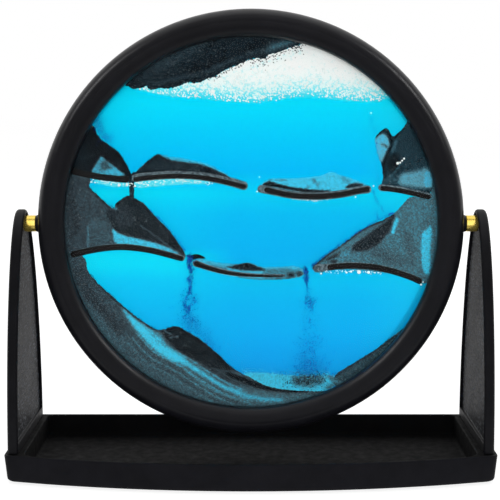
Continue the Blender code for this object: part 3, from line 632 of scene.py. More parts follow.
def arm_outline(inset, bottom):
    """An arm from the side, as (y, z): an arch with full flanks and a blunt round top."""
    half, rise, power = 32.6 * MM - inset, PIVOT.z + 6.1 * MM - BASE_TOP - inset, 1.8
    start = math.asin(((bottom - BASE_TOP) / rise) ** (power / 2))
    flank = []
    for angle in np.linspace(start, math.pi / 2, 49)[:-1]:
        flank.append((half * math.cos(angle) ** (2 / power), BASE_TOP + rise * math.sin(angle) ** (2 / power)))
    front = [(PIVOT.y - y, z) for y, z in flank]
    rear = [(PIVOT.y + y, z) for y, z in reversed(flank)]
    return front + [(PIVOT.y, BASE_TOP + rise)] + rear


def arms():
    """The two arms, each with a rounded edge, a sunk panel and the bore for its bush."""
    shoulder, ledge = BASE_TOP + 0.3 * MM, BASE_TOP + 4.0 * MM
    inner, outer, edge, rim = ARM_LOW.x, ARM_HIGH.x, 1.1 * MM, 1.5 * MM
    floor = inner + 1.3 * MM
    plan = [(outer - 1.5 * edge * c, 1.5 * edge * s, shoulder) for s, c in bends(5)]
    plan += [(inner + edge * s, edge * c, shoulder) for s, c in bends(5)]
    plan += [
        (inner, rim - 0.2 * MM, ledge - 0.2 * MM), (inner + 0.08 * MM, rim - 0.05 * MM, ledge - 0.05 * MM),
        (inner + 0.22 * MM, rim, ledge), (floor - 0.15 * MM, rim, ledge),
        (floor, rim + 0.15 * MM, ledge + 0.15 * MM),
    ]
    bore = ((floor, 3.45 * MM), (floor + 0.15 * MM, 3.3 * MM), (floor + 2.4 * MM, 3.3 * MM))
    for side, sign in SIDES:
        loops = [[(sign * x, y, z) for y, z in arm_outline(inset, low)] for x, inset, low in plan]
        around = [math.atan2(z - PIVOT.z, y - PIVOT.y) for _, y, z in loops[-1]]
        for x, radius in bore:
            loops.append([
                (sign * x, PIVOT.y + radius * math.cos(a), PIVOT.z + radius * math.sin(a)) for a in around
            ])
        verts, faces = loft(loops)
        # The panel is the band of faces between the plan's last loop and the bore.
        band, count = len(plan) - 1, len(loops[0])
        panel = [int(i // count == band) for i in range(len(faces))]
        materials, node = [ARM_BLACK, PANEL], [f"{side}_arm"]
        piece(f"smooth_{side}_arm", (verts, faces), materials, STAND, node, panel)


# Picture


def eased(points, rounds=2, closed=True):
    """Corner-cutting that turns a rough outline into a flowing one."""
    points = np.asarray(points, float)
    for _ in range(rounds):
        ahead = np.roll(points, -1, 0) if closed else points[1:]
        here = points if closed else points[:-1]
        cut = np.empty((2 * len(here), 2))
        cut[0::2] = here * 0.75 + ahead * 0.25
        cut[1::2] = here * 0.25 + ahead * 0.75
        points = cut if closed else np.vstack((points[:1], cut, points[-1:]))
    return points


def resampled(points, spacing):
    """A closed outline with evenly spaced points."""
    ring = np.vstack((points, points[:1]))
    along = np.concatenate(([0], np.cumsum(np.hypot(*np.diff(ring, axis=0).T))))
    count = max(8, int(along[-1] / spacing))
    at = np.linspace(0, along[-1], count, endpoint=False)
    return np.column_stack((np.interp(at, along, ring[:, 0]), np.interp(at, along, ring[:, 1])))


def within(points, outline):
    """Which points lie inside an outline."""
    x, y = points[:, 0], points[:, 1]
    inside = np.zeros(len(points), bool)
    for (ax, ay), (bx, by) in zip(outline, np.roll(outline, -1, 0)):
        crosses = (ay > y) != (by > y)
        with np.errstate(divide="ignore", invalid="ignore"):
            inside ^= crosses & (x < (bx - ax) * (y - ay) / (by - ay) + ax)
    return inside


def distance(points, line):
    """The distance of each point from a line of points."""
    if len(line) == 1:
        return np.hypot(*(points - line[0]).T)
    best = np.full(len(points), np.inf)
    for a, b in zip(line[:-1], line[1:]):
        along = b - a
        share = np.clip(((points - a) @ along) / max(along @ along, 1e-9), 0, 1)
        best = np.minimum(best, np.hypot(*(points - a - share[:, None] * along).T))
    return best


def toned(points, base, zones, strokes):
    """The tone at each point: a base, then zones (edge softness, tone, outline), then strokes
    (half width, tone, line)."""
    tone = np.full(len(points), base, float)
    for soft, value, *outline in zones:
        outline = eased(spots(outline), 2)
        depth = distance(points, np.vstack((outline, outline[:1]))) * np.where(within(points, outline), 1, -1)
        cover = np.clip(0.5 + depth / (2 * soft), 0, 1)
        cover = cover * cover * (3 - 2 * cover)
        tone = tone * (1 - cover) + value * cover
    for width, value, *line in strokes:
        cover = np.exp(-((distance(points, spots(line)) / width) ** 2))
        tone = tone * (1 - cover) + value * cover
    return tone


def in_cell(offsets):
    """Offsets from the ring's centre, pulled back to the rim of the cell where they lie beyond it."""
    return offsets * np.minimum(1, FILL_RADIUS / np.maximum(np.hypot(*offsets.T), 1e-9))[:, None]


def slab(name, outline, depth, material, slot, replaced, base, zones=(), strokes=(), ragged=0.3, ease=2):
    """A body of sand or foam that fills the cell from pane to pane, with a fine mesh and a tone."""
    edge_step, step, jitter, clear, rim = 1.2, 1.45, 0.3, 0.8, 0.4 * MM
    edge = resampled(eased(spots(outline), ease), edge_step)
    edge += RNG.normal(0, ragged, edge.shape)
    low, high = edge.min(0), edge.max(0)
    grid = np.stack(np.meshgrid(np.arange(low[0], high[0], step), np.arange(low[1], high[1], step)), -1)
    grid = grid.reshape(-1, 2)
    grid = grid + RNG.uniform(-jitter, jitter, grid.shape) * step
    grid = grid[within(grid, edge) & held(grid, rim)]
    if len(grid):
        grid = grid[np.min([np.hypot(*(grid - point).T) for point in edge], 0) > clear]
    layout = np.vstack((edge, grid))
    points = [Vector(p) for p in in_cell(grid_offsets(layout)) / MM]
    made, _, triangles, origins, *_ = delaunay_2d_cdt(points, [], [list(range(len(edge)))], 1, 1e-5)
    flat = np.array([tuple(p) for p in made]) * MM
    layout = np.array([layout[o[0]] if o else (0, 0) for o in origins])
    count = len(flat)
    uses = {}
    for a, b, c in triangles:
        for pair in ((a, b), (b, c), (c, a)):
            uses.setdefault(frozenset(pair), []).append(pair)
    faces = [tuple(t) for t in triangles] + [tuple(count + i for i in reversed(t)) for t in triangles]
    for pairs in uses.values():
        if len(pairs) == 1:
            a, b = pairs[0]
            faces.append((b, a, count + a, count + b))
    rear = in_cell(LEAN_CENTRE + (flat - LEAN_CENTRE) * (1 + LEAN))
    verts = [
        (PIVOT.x + right, PIVOT.y + at, PIVOT.z + up)
        for sheet, at in ((flat, -depth), (rear, depth)) for right, up in sheet
    ]
    tone = toned(layout, base, zones, strokes)
    piece(name, (verts, faces), [material], RING, replaced, attribute=("tone", np.tile(tone, 2)))


# Each divider: the half thickness of its core and of the grey bead round it (one number, or one for each
# end), how far the bead is shifted up, where the bead starts and ends, and then the line of the core.
# The grey beads are partly painted highlight: shifted up, they show mostly above each core, as light on its top
# edge.
DIVIDERS = {
    "divider_upper_1": (
        3.4, 3, 0, (73, 171.4), (126.6, 179.5),
        73, 171.4, 80, 173, 90, 175.1, 100, 177, 110, 178.1, 120, 179.2, 126.2, 179.6,
    ),
    "divider_upper_2": (
        2.6, 4.5, 1.2, (136, 179.2), (243.6, 187),
        135.4, 179.4, 142, 178.1, 150, 177.4, 160, 176.6, 170, 175.9, 182, 175.9, 195, 176.6, 208, 178.2,
        220, 180.6, 232, 183.4, 244, 186.6,
    ),
    "divider_upper_3": (
        2.9, 4.3, 0.5, (261.6, 189.4), (367.2, 189.8),
        266.5, 189.8, 275, 191.9, 285, 194.2, 295, 195.7, 305, 196.3, 318, 196.5, 330, 195.7, 340, 194.5,
        350, 192.7, 359, 190.5, 367, 189.2,
    ),
    "divider_upper_4": (
        2.65, 3.6, 0.8, (381.6, 188.4), (428.6, 196.8),
        382.4, 188.2, 390, 189, 400, 190.5, 410, 192.6, 420, 195, 428.4, 197,
    ),
    "divider_lower_1": (
        (3.6, 2.9), (3.6, 3.4), 0.4, (74, 254), (181.6, 258.4),
        74, 254, 82, 252.2, 90, 250.3, 100, 248.6, 110, 247.4, 120, 246.9, 130, 247.4, 140, 248.6, 150, 250.2,
        160, 252.6, 170, 255.4, 181, 258.4,
    ),
    "divider_lower_2": (
        (2.9, 1), (3.7, 1.9), 0.3, (196, 263.6), (284, 275.8),
        196.4, 263.8, 205, 266.8, 215, 269.9, 225, 272.3, 235, 274, 245, 275, 256, 275.6, 268, 275.9, 282, 276,
    ),
    "divider_lower_3": (
        3.2, 3.7, 0.4, (317, 268.2), (419.4, 281),
        330, 267.2, 336, 266.4, 345, 265.7, 355, 265.6, 365, 266.1, 375, 267.2, 385, 269.2, 395, 271.8,
        405, 275, 413, 278, 419, 281,
    ),
}


def strip(line, half, depth, steps=10):
    """A strip along a line, of even or tapering thickness, with round ends and softly broken front edges."""
    line = eased(line, 3, closed=False)
    widths = np.linspace(*half, len(line)) if isinstance(half, tuple) else np.full(len(line), half)
    along = np.gradient(line, axis=0)
    along /= np.hypot(*along.T)[:, None]
    across = np.column_stack((along[:, 1], -along[:, 0]))
    angles = [math.pi * i / steps for i in range(1, steps)]

    def outline(inset):
        reach = widths - np.minimum(inset, widths * 0.5)
        loop = []
        for end, side in ((-1, 1), (0, -1)):
            loop += list((line + side * across * reach[:, None])[::side])
            for angle in angles:
                round_end = across[end] * math.cos(angle) + along[end] * math.sin(angle)
                loop.append(line[end] + side * reach[end] * round_end)
        return np.array(loop)

    soft = 0.35 * MM
    give = soft / GRID_ACROSS
    plan = ((give, depth), (0.3 * give, depth - 0.3 * soft), (0.0, depth - soft))
    front = [lay(outline(inset), -at) for inset, at in plan]
    return loft(front + [lay(outline(inset), at) for inset, at in plan[::-1]])


def dividers():
    """The black core of each divider, and the grey bead round it, which is sealant and also a painted highlight
    along the top edge.
    """
    for name, (half, bead_and_highlight_half, shift, start, end, *line) in DIVIDERS.items():
        line = spots(line)
        piece(f"round_{name}", strip(line, half, CORE_DEPTH), [DIVIDER], RING, [name])
        line = np.vstack((start, line[1:-1], end)) - (0, shift)
        piece(f"bead_{name}", strip(line, bead_and_highlight_half, BEAD_DEPTH), [BEAD_AND_HIGHLIGHT], RING)


# The lower edge of the sand under the top of the ring.
CAP_EDGE = spots((
    128, 87, 131, 88, 134, 90, 138, 88.5, 141, 88, 144, 87, 146.5, 85.5, 149, 89.5, 152, 90, 156, 88.8, 160, 88,
    165, 88, 168, 88.5, 172, 88, 176, 86.5, 180, 85.8, 183, 84.5, 186, 82.5, 190, 82, 195, 83.5, 200, 82,
    204, 81, 207, 78.5, 210, 77, 215, 77, 218, 74.5, 221, 72, 224, 70.5, 228, 69, 232, 66.5, 236, 66, 240, 63.5,
    245, 62, 248, 60, 252, 59, 256, 58, 260, 58.2, 263, 58.5, 266, 56.5, 270, 54, 275, 53.5, 280, 51.5, 284, 50,
    288, 48.5, 292, 47.5, 296, 46, 300, 44.3, 304, 43,
))


def sands():
    """The heaps of sand: a base tone, an outline, zones of another tone and strokes along lines."""
    def heap(name, base, outline, zones=(), strokes=(), depth=SAND_DEPTH, replaced=True, sand=SAND, **more):
        nodes = [name] if replaced else ()
        slab(f"grainy_{name}", outline, depth, sand, "dark_sand", nodes, base, zones, strokes, **more)

    roof = spots((312, 40, 300, 30, 252, 26, 200, 32, 150, 55))
    heap("sand_top_cap", 0.14, np.vstack(((122, 84), CAP_EDGE, roof)), (
        (8, 0.26, 140, 80, 150, 62, 175, 48, 205, 39, 200, 52, 172, 66, 150, 78),
        (4, 0.56, 255, 50, 270, 44, 292, 38, 298, 41, 282, 48, 266, 53),
    ), (
        (6, 0.07, 170, 82, 215, 66, 262, 46), (2.6, 0.26, 205, 72, 240, 57, 262, 50),
        (2.4, 0.24, 150, 84, 180, 78, 200, 74),
    ), depth=CAP_DEPTH, ragged=0.5, ease=1)
    heap("sand_upper_left", 0.05, (
        84, 122, 95, 126, 96, 132, 98, 136, 102, 140, 108, 144, 114, 148.5, 119, 152, 122, 157, 125, 162,
        128, 167, 131, 172, 132, 178, 131, 181, 127, 178, 110, 176, 93, 173.5, 78, 171.8, 70, 170.8, 60, 170.2,
        66, 145,
    ), (
        (6, 0.11, 66, 150, 80, 140, 90, 150, 88, 168, 70, 166),
        (1, 0.76, 101, 154.5, 103.4, 158, 110, 163, 117, 168, 124.6, 174.5, 118, 177, 108, 176, 98, 174,
         90, 172.4, 96, 164),
        (2.2, 0.44, 102, 160, 106, 161.5, 112, 167, 107, 170.5, 99, 169.5),
    ), (
        (1.6, 0.84, 108, 171, 116, 172, 123, 174.4), (2.6, 0.05, 112, 148, 120, 156, 128, 170),
    ))
    heap("sand_neck", 0.17, (
        128, 170, 131, 174, 134, 171, 135.2, 173.5, 134.2, 178, 133.9, 184, 134.4, 197, 131.4, 200,
        129.3, 196.5, 129.2, 184, 128.4, 178, 126.8, 174,
    ), depth=THIN_DEPTH, replaced=False, sand=TEAL_SAND, ragged=0.3)
    heap("sand_upper_mid_left", 0.97, (
        133.5, 180, 134.2, 174.5, 136, 171, 140, 168, 145, 163, 150, 159, 154, 155.6, 158, 153.5, 164, 155.4,
        172, 157, 182, 158.4, 192, 160.2, 203, 162.6, 210, 165, 218, 169.2, 226, 174, 236, 180.4, 246, 187,
        236, 187, 207, 180.6, 180, 178, 158, 178.4,
    ), (
        (0.8, 0.12, 132, 182, 133, 173, 140, 168, 150, 158.8, 158, 153.2, 163, 157, 170, 160.2, 185, 162.7,
         203, 165, 218, 171, 234, 179.2, 247, 187, 236, 189, 207, 183, 180, 180, 158, 181),
    ), (
        (3.6, 0.19, 150, 166, 170, 164.5, 200, 168), (1.4, 0.05, 146, 163, 158, 155),
    ))
    heap("sand_upper_mid_right", 0.97, (
        257.5, 188.8, 260, 185.6, 263, 182.6, 266, 180.5, 270, 178.5, 280, 178.4, 290, 178.6, 300, 177.8,
        310, 177, 320, 176.2, 324, 174.6, 328, 172.5, 331, 171.4, 335, 173.4, 342, 175.6, 350, 178, 357, 180.4,
        364, 183.5, 369, 186.5, 371, 188.8, 360, 191, 346, 194.5, 319, 198, 300, 197.8, 280, 194.5, 266, 191.5,
        260, 191.5,
    ), (
        (0.7, 0.06, 261, 185, 266, 182, 270, 181.2, 276, 183.2, 284, 185.6, 294, 187.6, 304, 189, 314, 190,
         324, 190.6, 333, 190.8, 322, 192.8, 310, 192.5, 298, 191.4, 286, 189.2, 276, 187.2, 266, 186),
        (0.8, 0.18, 345, 187.6, 349, 184.8, 353, 183.4, 358, 183, 365, 184.4, 360, 186.2, 353, 187.4,
         348, 188.4),
    ), (
        (2.2, 0.7, 314, 180.4, 318, 184.6), (2.4, 0.76, 343, 177.6, 348, 181.6), (1.4, 0.7, 308, 187),
        (0.8, 0.66, 269, 179.2, 286, 180), (1.2, 0.55, 258.5, 189, 263, 186.5),
    ))
    heap("sand_upper_right", 0.23, (
        420, 112, 407, 121, 406, 124, 403, 128, 399, 132, 395, 135.5, 392.5, 136.5, 390.5, 134, 388.5, 128.5,
        385, 127.8, 382, 129.5, 379, 132.5, 375.5, 136.5, 374.8, 141, 376, 146, 378, 155, 380, 160, 381.4, 165,
        382.4, 171, 383, 180, 380, 187, 393, 190.4, 409, 194, 424, 197, 430.6, 193, 433, 186, 446, 184,
        444, 150,
    ), (
        (0.9, 0.93, 374, 139, 378, 134.6, 384, 133.6, 387, 136.6, 389.5, 142, 389.5, 147, 386.4, 151, 384, 157,
         381, 164, 378, 156, 375, 146),
        (1.3, 0.42, 396, 137, 398, 141, 395, 150, 392, 157, 390, 155, 393, 146),
        (5, 0.22, 402, 132, 414, 126, 428, 150, 424, 166, 406, 168, 402, 150),
        (2.4, 0.06, 389, 157, 396, 150, 401, 158, 400, 170, 392, 173, 386, 166),
        (3.2, 0.76, 397, 181, 400, 175, 406, 172.4, 418, 171, 424, 167, 430, 170, 431, 189, 412, 187, 400, 185),
        (1, 0.97, 424, 172, 428, 170, 431.4, 173, 432.4, 180, 432, 188, 426, 187.6, 423.5, 186, 424, 178),
    ), (
        (1.5, 0.05, 376, 136.4, 379.5, 132.4, 383, 130, 387, 129.4, 389.4, 133, 391, 139),
        (1.7, 0.06, 391.5, 138, 391, 145, 388.5, 152, 385.5, 160, 383.4, 168, 384, 177),
        (1.2, 0.3, 382.6, 144.4, 387, 146.8), (0.7, 0.46, 382, 184, 396, 170, 403, 161),
        (0.7, 0.44, 384, 184.5, 392, 176), (1.6, 0.06, 404, 128, 398, 134, 394, 139),
        (3, 0.32, 386, 181, 396, 179),
    ), sand=TEAL_SAND)
    heap("sand_middle_left", 0.345, (
        60, 169.8, 76, 172.6, 84, 174, 90, 178, 91, 181.6, 88, 186, 91, 189, 100, 197, 108, 205, 114, 209,
        116, 208, 114.4, 204, 120, 200, 126, 196, 128, 195, 133, 197, 140, 201, 146, 205, 150, 211, 160, 221,
        170, 231, 178, 242, 184, 251, 187, 256.6, 182, 259, 160, 254.5, 133, 249.5, 115, 248.6, 98, 249.5,
        80, 253, 62, 257,
    ), (
        (3, 0.42, 88, 225, 88, 247, 100, 246, 112, 243.5, 114, 242, 112, 232, 108, 222, 100, 218, 92, 218),
        (1.2, 0.16, 112, 204, 120, 199.6, 128, 194.4, 140, 200, 150, 210, 160, 220, 170, 230, 178, 241,
         188, 257, 175, 250, 160, 243, 150, 241, 140, 239, 130, 236.5, 120, 233.5, 114, 229, 112, 224, 109, 218,
         105, 212, 110, 207),
        (5, 0.25, 114, 210, 123, 205, 132, 211, 135, 225, 126, 229, 117, 227, 112, 218),
        (0.9, 0.92, 112, 227, 118, 233, 125, 235.5, 135, 238, 145, 240, 155, 243, 165, 246, 175, 250.5,
         181, 255, 170, 252.4, 160, 250, 150, 247.6, 140, 246, 130, 245, 115, 245, 112.5, 234),
    ), (
        (1.1, 0.62, 88, 227, 88, 246), (0.8, 0.42, 140, 225, 150, 232, 160, 239.5, 170, 247, 180, 253),
        (1.2, 0.72, 110.4, 205.4, 113.4, 208, 116.4, 208.6), (1, 0.14, 89, 187, 100, 198, 108, 206),
        (6, 0.26, 70, 190, 76, 230), (4, 0.36, 95, 200, 104, 212),
    ), sand=DUN_SAND)
    heap("sand_clump", 0.03, (
        188, 257.4, 191, 255, 195, 254, 198, 254, 203, 256, 207, 258.6, 200, 258.6, 195, 259, 191.5, 261,
        189, 261,
    ), depth=THIN_DEPTH, replaced=False, ragged=0.2)
    heap("sand_middle_centre", 0.86, (
        193, 262.4, 194.5, 260, 198, 258.3, 204, 259.6, 212, 261.6, 220, 263, 232, 263.6, 240, 264, 244, 262.6,
        250, 262.8, 256, 264.8, 262, 267, 272, 267.2, 282, 266.8, 290, 266.3, 297, 266.2, 302, 269, 304.5, 272,
        304, 275, 300, 277.3, 290, 279, 270, 280, 250, 279.2, 235, 276.6, 222, 274.6, 208, 271, 198, 267.6,
    ), (
        (0.7, 0.1, 227, 267, 235, 265.6, 241, 263.6, 245, 262.4, 250, 263, 254, 264.8, 260, 267.6, 267, 270.2,
         258, 270.6, 248, 270.4, 238, 269.4, 232, 268.2),
        (1.5, 0.64, 262, 269, 296, 268.6, 303, 271.5, 302, 275.5, 290, 279, 262, 279),
        (0.8, 0.3, 296, 271, 303, 271.6, 303, 275.4, 297, 276.6),
    ), (
        (0.8, 0.4, 236, 277.4, 250, 279.4, 270, 280, 290, 278.8), (1.7, 0, 289.4, 275, 292.6, 275),
        (1.2, 0.66, 212, 266, 226, 269),
    ))
    heap("sand_middle_right", 0.575, (
        446, 183, 433, 185, 431, 192.4, 426, 198, 410, 196.2, 407, 199.4, 404, 203, 399, 209, 393, 214,
        385, 219, 378, 222, 371, 224.6, 360, 230.4, 350, 238, 340, 246, 330, 252.4, 320, 260, 313, 266,
        312, 269, 314, 272, 319, 273, 327, 270.4, 340, 269.6, 352, 269, 378, 271.4, 401.5, 276.2, 421, 284,
        434, 282, 445, 240,
    ), (
        (1.4, 0.19, 352, 246, 360, 240, 370, 233, 380, 225.6, 388, 220.4, 396, 213, 391.5, 224, 390, 231,
         384, 237, 380, 243, 374, 248, 366, 250.5, 358, 251.5, 352, 250),
        (0.9, 0.2, 325, 259.4, 335, 254, 346, 249, 341, 254, 335, 257, 328, 260.6),
        (1.5, 0.64, 340, 251, 349, 249.4, 351, 255, 345, 258.6, 339, 256),
        (0.8, 0.25, 330, 260, 337, 259.6, 337, 262.6, 331, 263),
        (1, 0.36, 313.5, 266.4, 318, 263.6, 322, 266, 320, 271, 315, 271),
        (0.7, 0.97, 397, 216.4, 398.2, 219.6, 397.5, 223, 395, 231, 392.5, 236, 390.8, 233, 392.6, 226,
         394.5, 221),
        (0.9, 0.93, 431, 224.6, 431.8, 232, 429.8, 252, 430.2, 265, 429.2, 273, 425, 274.6, 422.2, 267,
         421.2, 258, 421.2, 233, 425, 231, 428, 227),
        (6, 0.6, 404, 206, 416, 200, 428, 204, 424, 222, 410, 224),
    ), (
        (1, 0.05, 313, 266.6, 322, 259.2, 332, 251.6, 342, 244.6, 352, 237, 362, 229.8, 372, 224.8, 382, 221,
         393, 214.6),
        (5, 0.47, 376, 252, 400, 262), (4, 0.48, 408, 236, 412, 262),
    ), sand=DUN_SAND)
    # Pale sand along a streak, with fainter lines combed beside it.
    streak = spots((140, 328, 150, 340, 160, 349, 170, 354, 185, 362, 200, 372, 222, 386, 240, 393.5))
    combed = [
        (0.9, tone, streak + (-0.6 * gap, 0.8 * gap))
        for gap, tone in ((-5, 0.8), (6, 0.74), (9.5, 0.42), (12.5, 0.66), (16, 0.4), (19, 0.58))
    ]
    heap("sand_bottom_left", 0.385, (
        60, 251, 72, 254, 80, 254, 84, 257, 86.5, 260.6, 86.5, 268, 90, 274, 95, 280, 105, 290, 120, 303,
        130, 312, 140, 319.5, 150, 326, 157, 330, 162, 330, 168, 328, 174, 326, 178, 325.8, 182, 328, 190, 333,
        200, 339, 210, 347, 220, 356, 228, 364, 234, 369, 242, 373.5, 250, 377, 256, 380.6, 262, 384,
        272, 387.4, 282, 389.4, 300, 390.6, 322, 391, 334, 391.4, 330, 402, 290, 414, 230, 412, 160, 392,
        100, 345, 66, 290,
    ), (
        (8, 0.47, 66, 300, 100, 345, 160, 392, 230, 412, 290, 414, 240, 404, 190, 385, 150, 362, 115, 330,
         85, 290),
        (3, 0.54, 236, 384, 262, 392, 320, 394, 330, 404, 262, 408, 236, 398),
        (2, 0.66, 150, 326, 158, 331, 163, 336, 165, 345, 157, 341, 149, 333),
        (1.2, 0.12, 160, 330, 168, 327.6, 175, 325.4, 182, 327.6, 190, 332.6, 200, 338.6, 210, 346.6,
         220, 355.6, 228, 363.6, 238, 371, 226, 370.4, 214, 368.4, 206, 365.4, 198, 361.4, 190, 357.4,
         182, 353.4, 175, 348, 168, 340, 163, 334),
        (1.3, 0.3, 176, 353, 190, 358, 205, 366, 222, 371, 232, 380, 244, 386.4, 222, 380, 205, 371),
        (2.6, 0.7, 172, 350, 186, 358.5, 194, 364, 204, 371, 214, 378, 226, 385.5, 240, 392, 255, 397,
         250, 401, 236, 396, 220, 388, 206, 379.5, 192, 370.5, 180, 364, 166, 356),
        (3, 0.98, 122, 306, 128, 312, 136, 319, 146, 327, 155, 334, 163, 341, 170, 348, 178, 353.5, 183, 358,
         178, 363, 168, 360, 156, 351, 148, 343, 140, 335, 132, 325, 125, 315),
        (0.7, 0.08, 225, 371, 235, 374.4, 245, 378, 255, 381.6, 265, 385.6, 275, 388.2, 285, 390, 310, 390.4,
         310, 392.6, 285, 392.6, 275, 391.4, 265, 389.8, 255, 387.2, 245, 383.6, 235, 379.6, 226, 375),
    ), (
        *combed, (2.8, 1, streak[:5]), (1.9, 0.9, streak[4:]),
        (0.9, 0.12, 86.5, 262, 90, 274, 95, 280.6, 105, 290.8, 120, 303.8, 130, 312.6, 140, 320.2, 150, 326.6,
         157, 330.4),
        (1.1, 0.68, 187, 372, 205, 385, 225, 395, 250, 404), (1, 0.64, 200, 383, 215, 391, 240, 400),
        (2.2, 0.84, 230, 388, 245, 395, 262, 399, 280, 400), (0.9, 0.5, 165, 331, 172, 335),
        (0.9, 0.5, 170, 338, 178, 336), (5, 0.29, 78, 270, 90, 296, 120, 330),
    ), sand=DUN_SAND)
    heap("sand_dust", 0.95, (
        240, 372.6, 248, 372.8, 255, 372.6, 262, 372.6, 270, 373, 278, 373.8, 286, 374.8, 294, 375.4,
        302, 375.6, 312, 375.2, 322, 374.4, 330, 374, 335, 376.4, 338, 381, 336, 386, 326, 390.6, 310, 393,
        296, 392.4, 284, 391, 270, 388, 255, 383.5,
    ), (
        (4, 0.6, 290, 376, 302, 374, 322, 375, 326, 382, 313, 388, 294, 387),
    ), (
        (3, 0.6, 330, 376, 336, 383, 328, 388),
    ), depth=THIN_DEPTH, replaced=False, ragged=0.6)
    heap("sand_bottom_right", 0.37, (
        333, 377, 340, 371, 350, 365, 360, 359, 372, 352, 380, 346, 390, 338, 395, 335, 403, 328, 412, 330,
        400, 350, 370, 378, 345, 390, 334, 386,
    ), (), (
        (1.1, 0.25, 335, 376, 350, 365.8, 372, 352.8, 395, 335.6), (3, 0.6, 334, 380, 340, 384),
    ))


def sprinkled(name, groups, size, material, tone=0.0):
    """Single grains against either pane at layout points, each a small flat eight-sided chip."""
    rim, half_thickness = 0.5 * MM, 0.14 * MM
    places = np.vstack(groups)
    places = places[held(places, rim)]
    centres = np.vstack((lay(places, -SAND_DEPTH), lay(places, SAND_DEPTH)))
    chip = np.array(((1, 0, 0), (-1, 0, 0), (0, 1, 0), (0, -1, 0), (0, 0, 1), (0, 0, -1)), float)
    tris = np.array(((0, 2, 4), (2, 1, 4), (1, 3, 4), (3, 0, 4), (2, 0, 5), (1, 2, 5), (3, 1, 5), (0, 3, 5)))
    verts, faces = [], []
    for i, centre in enumerate(centres):
        turn = RNG.uniform(0, math.tau)
        c, s = math.cos(turn), math.sin(turn)
        basis = np.array(((c, 0, s), (0, 1, 0), (-s, 0, c)))
        radius = RNG.uniform(*size) * MM * RNG.uniform(0.7, 1.3, 3)
        radius[1] = half_thickness
        verts.append(centre + (chip * radius) @ basis)
        faces.append(tris + len(chip) * i)
    tones = np.full(len(chip) * len(verts), tone)
    shape = np.vstack(verts), np.vstack(faces)
    piece(name, shape, [material], RING, attribute=("tone", tones))


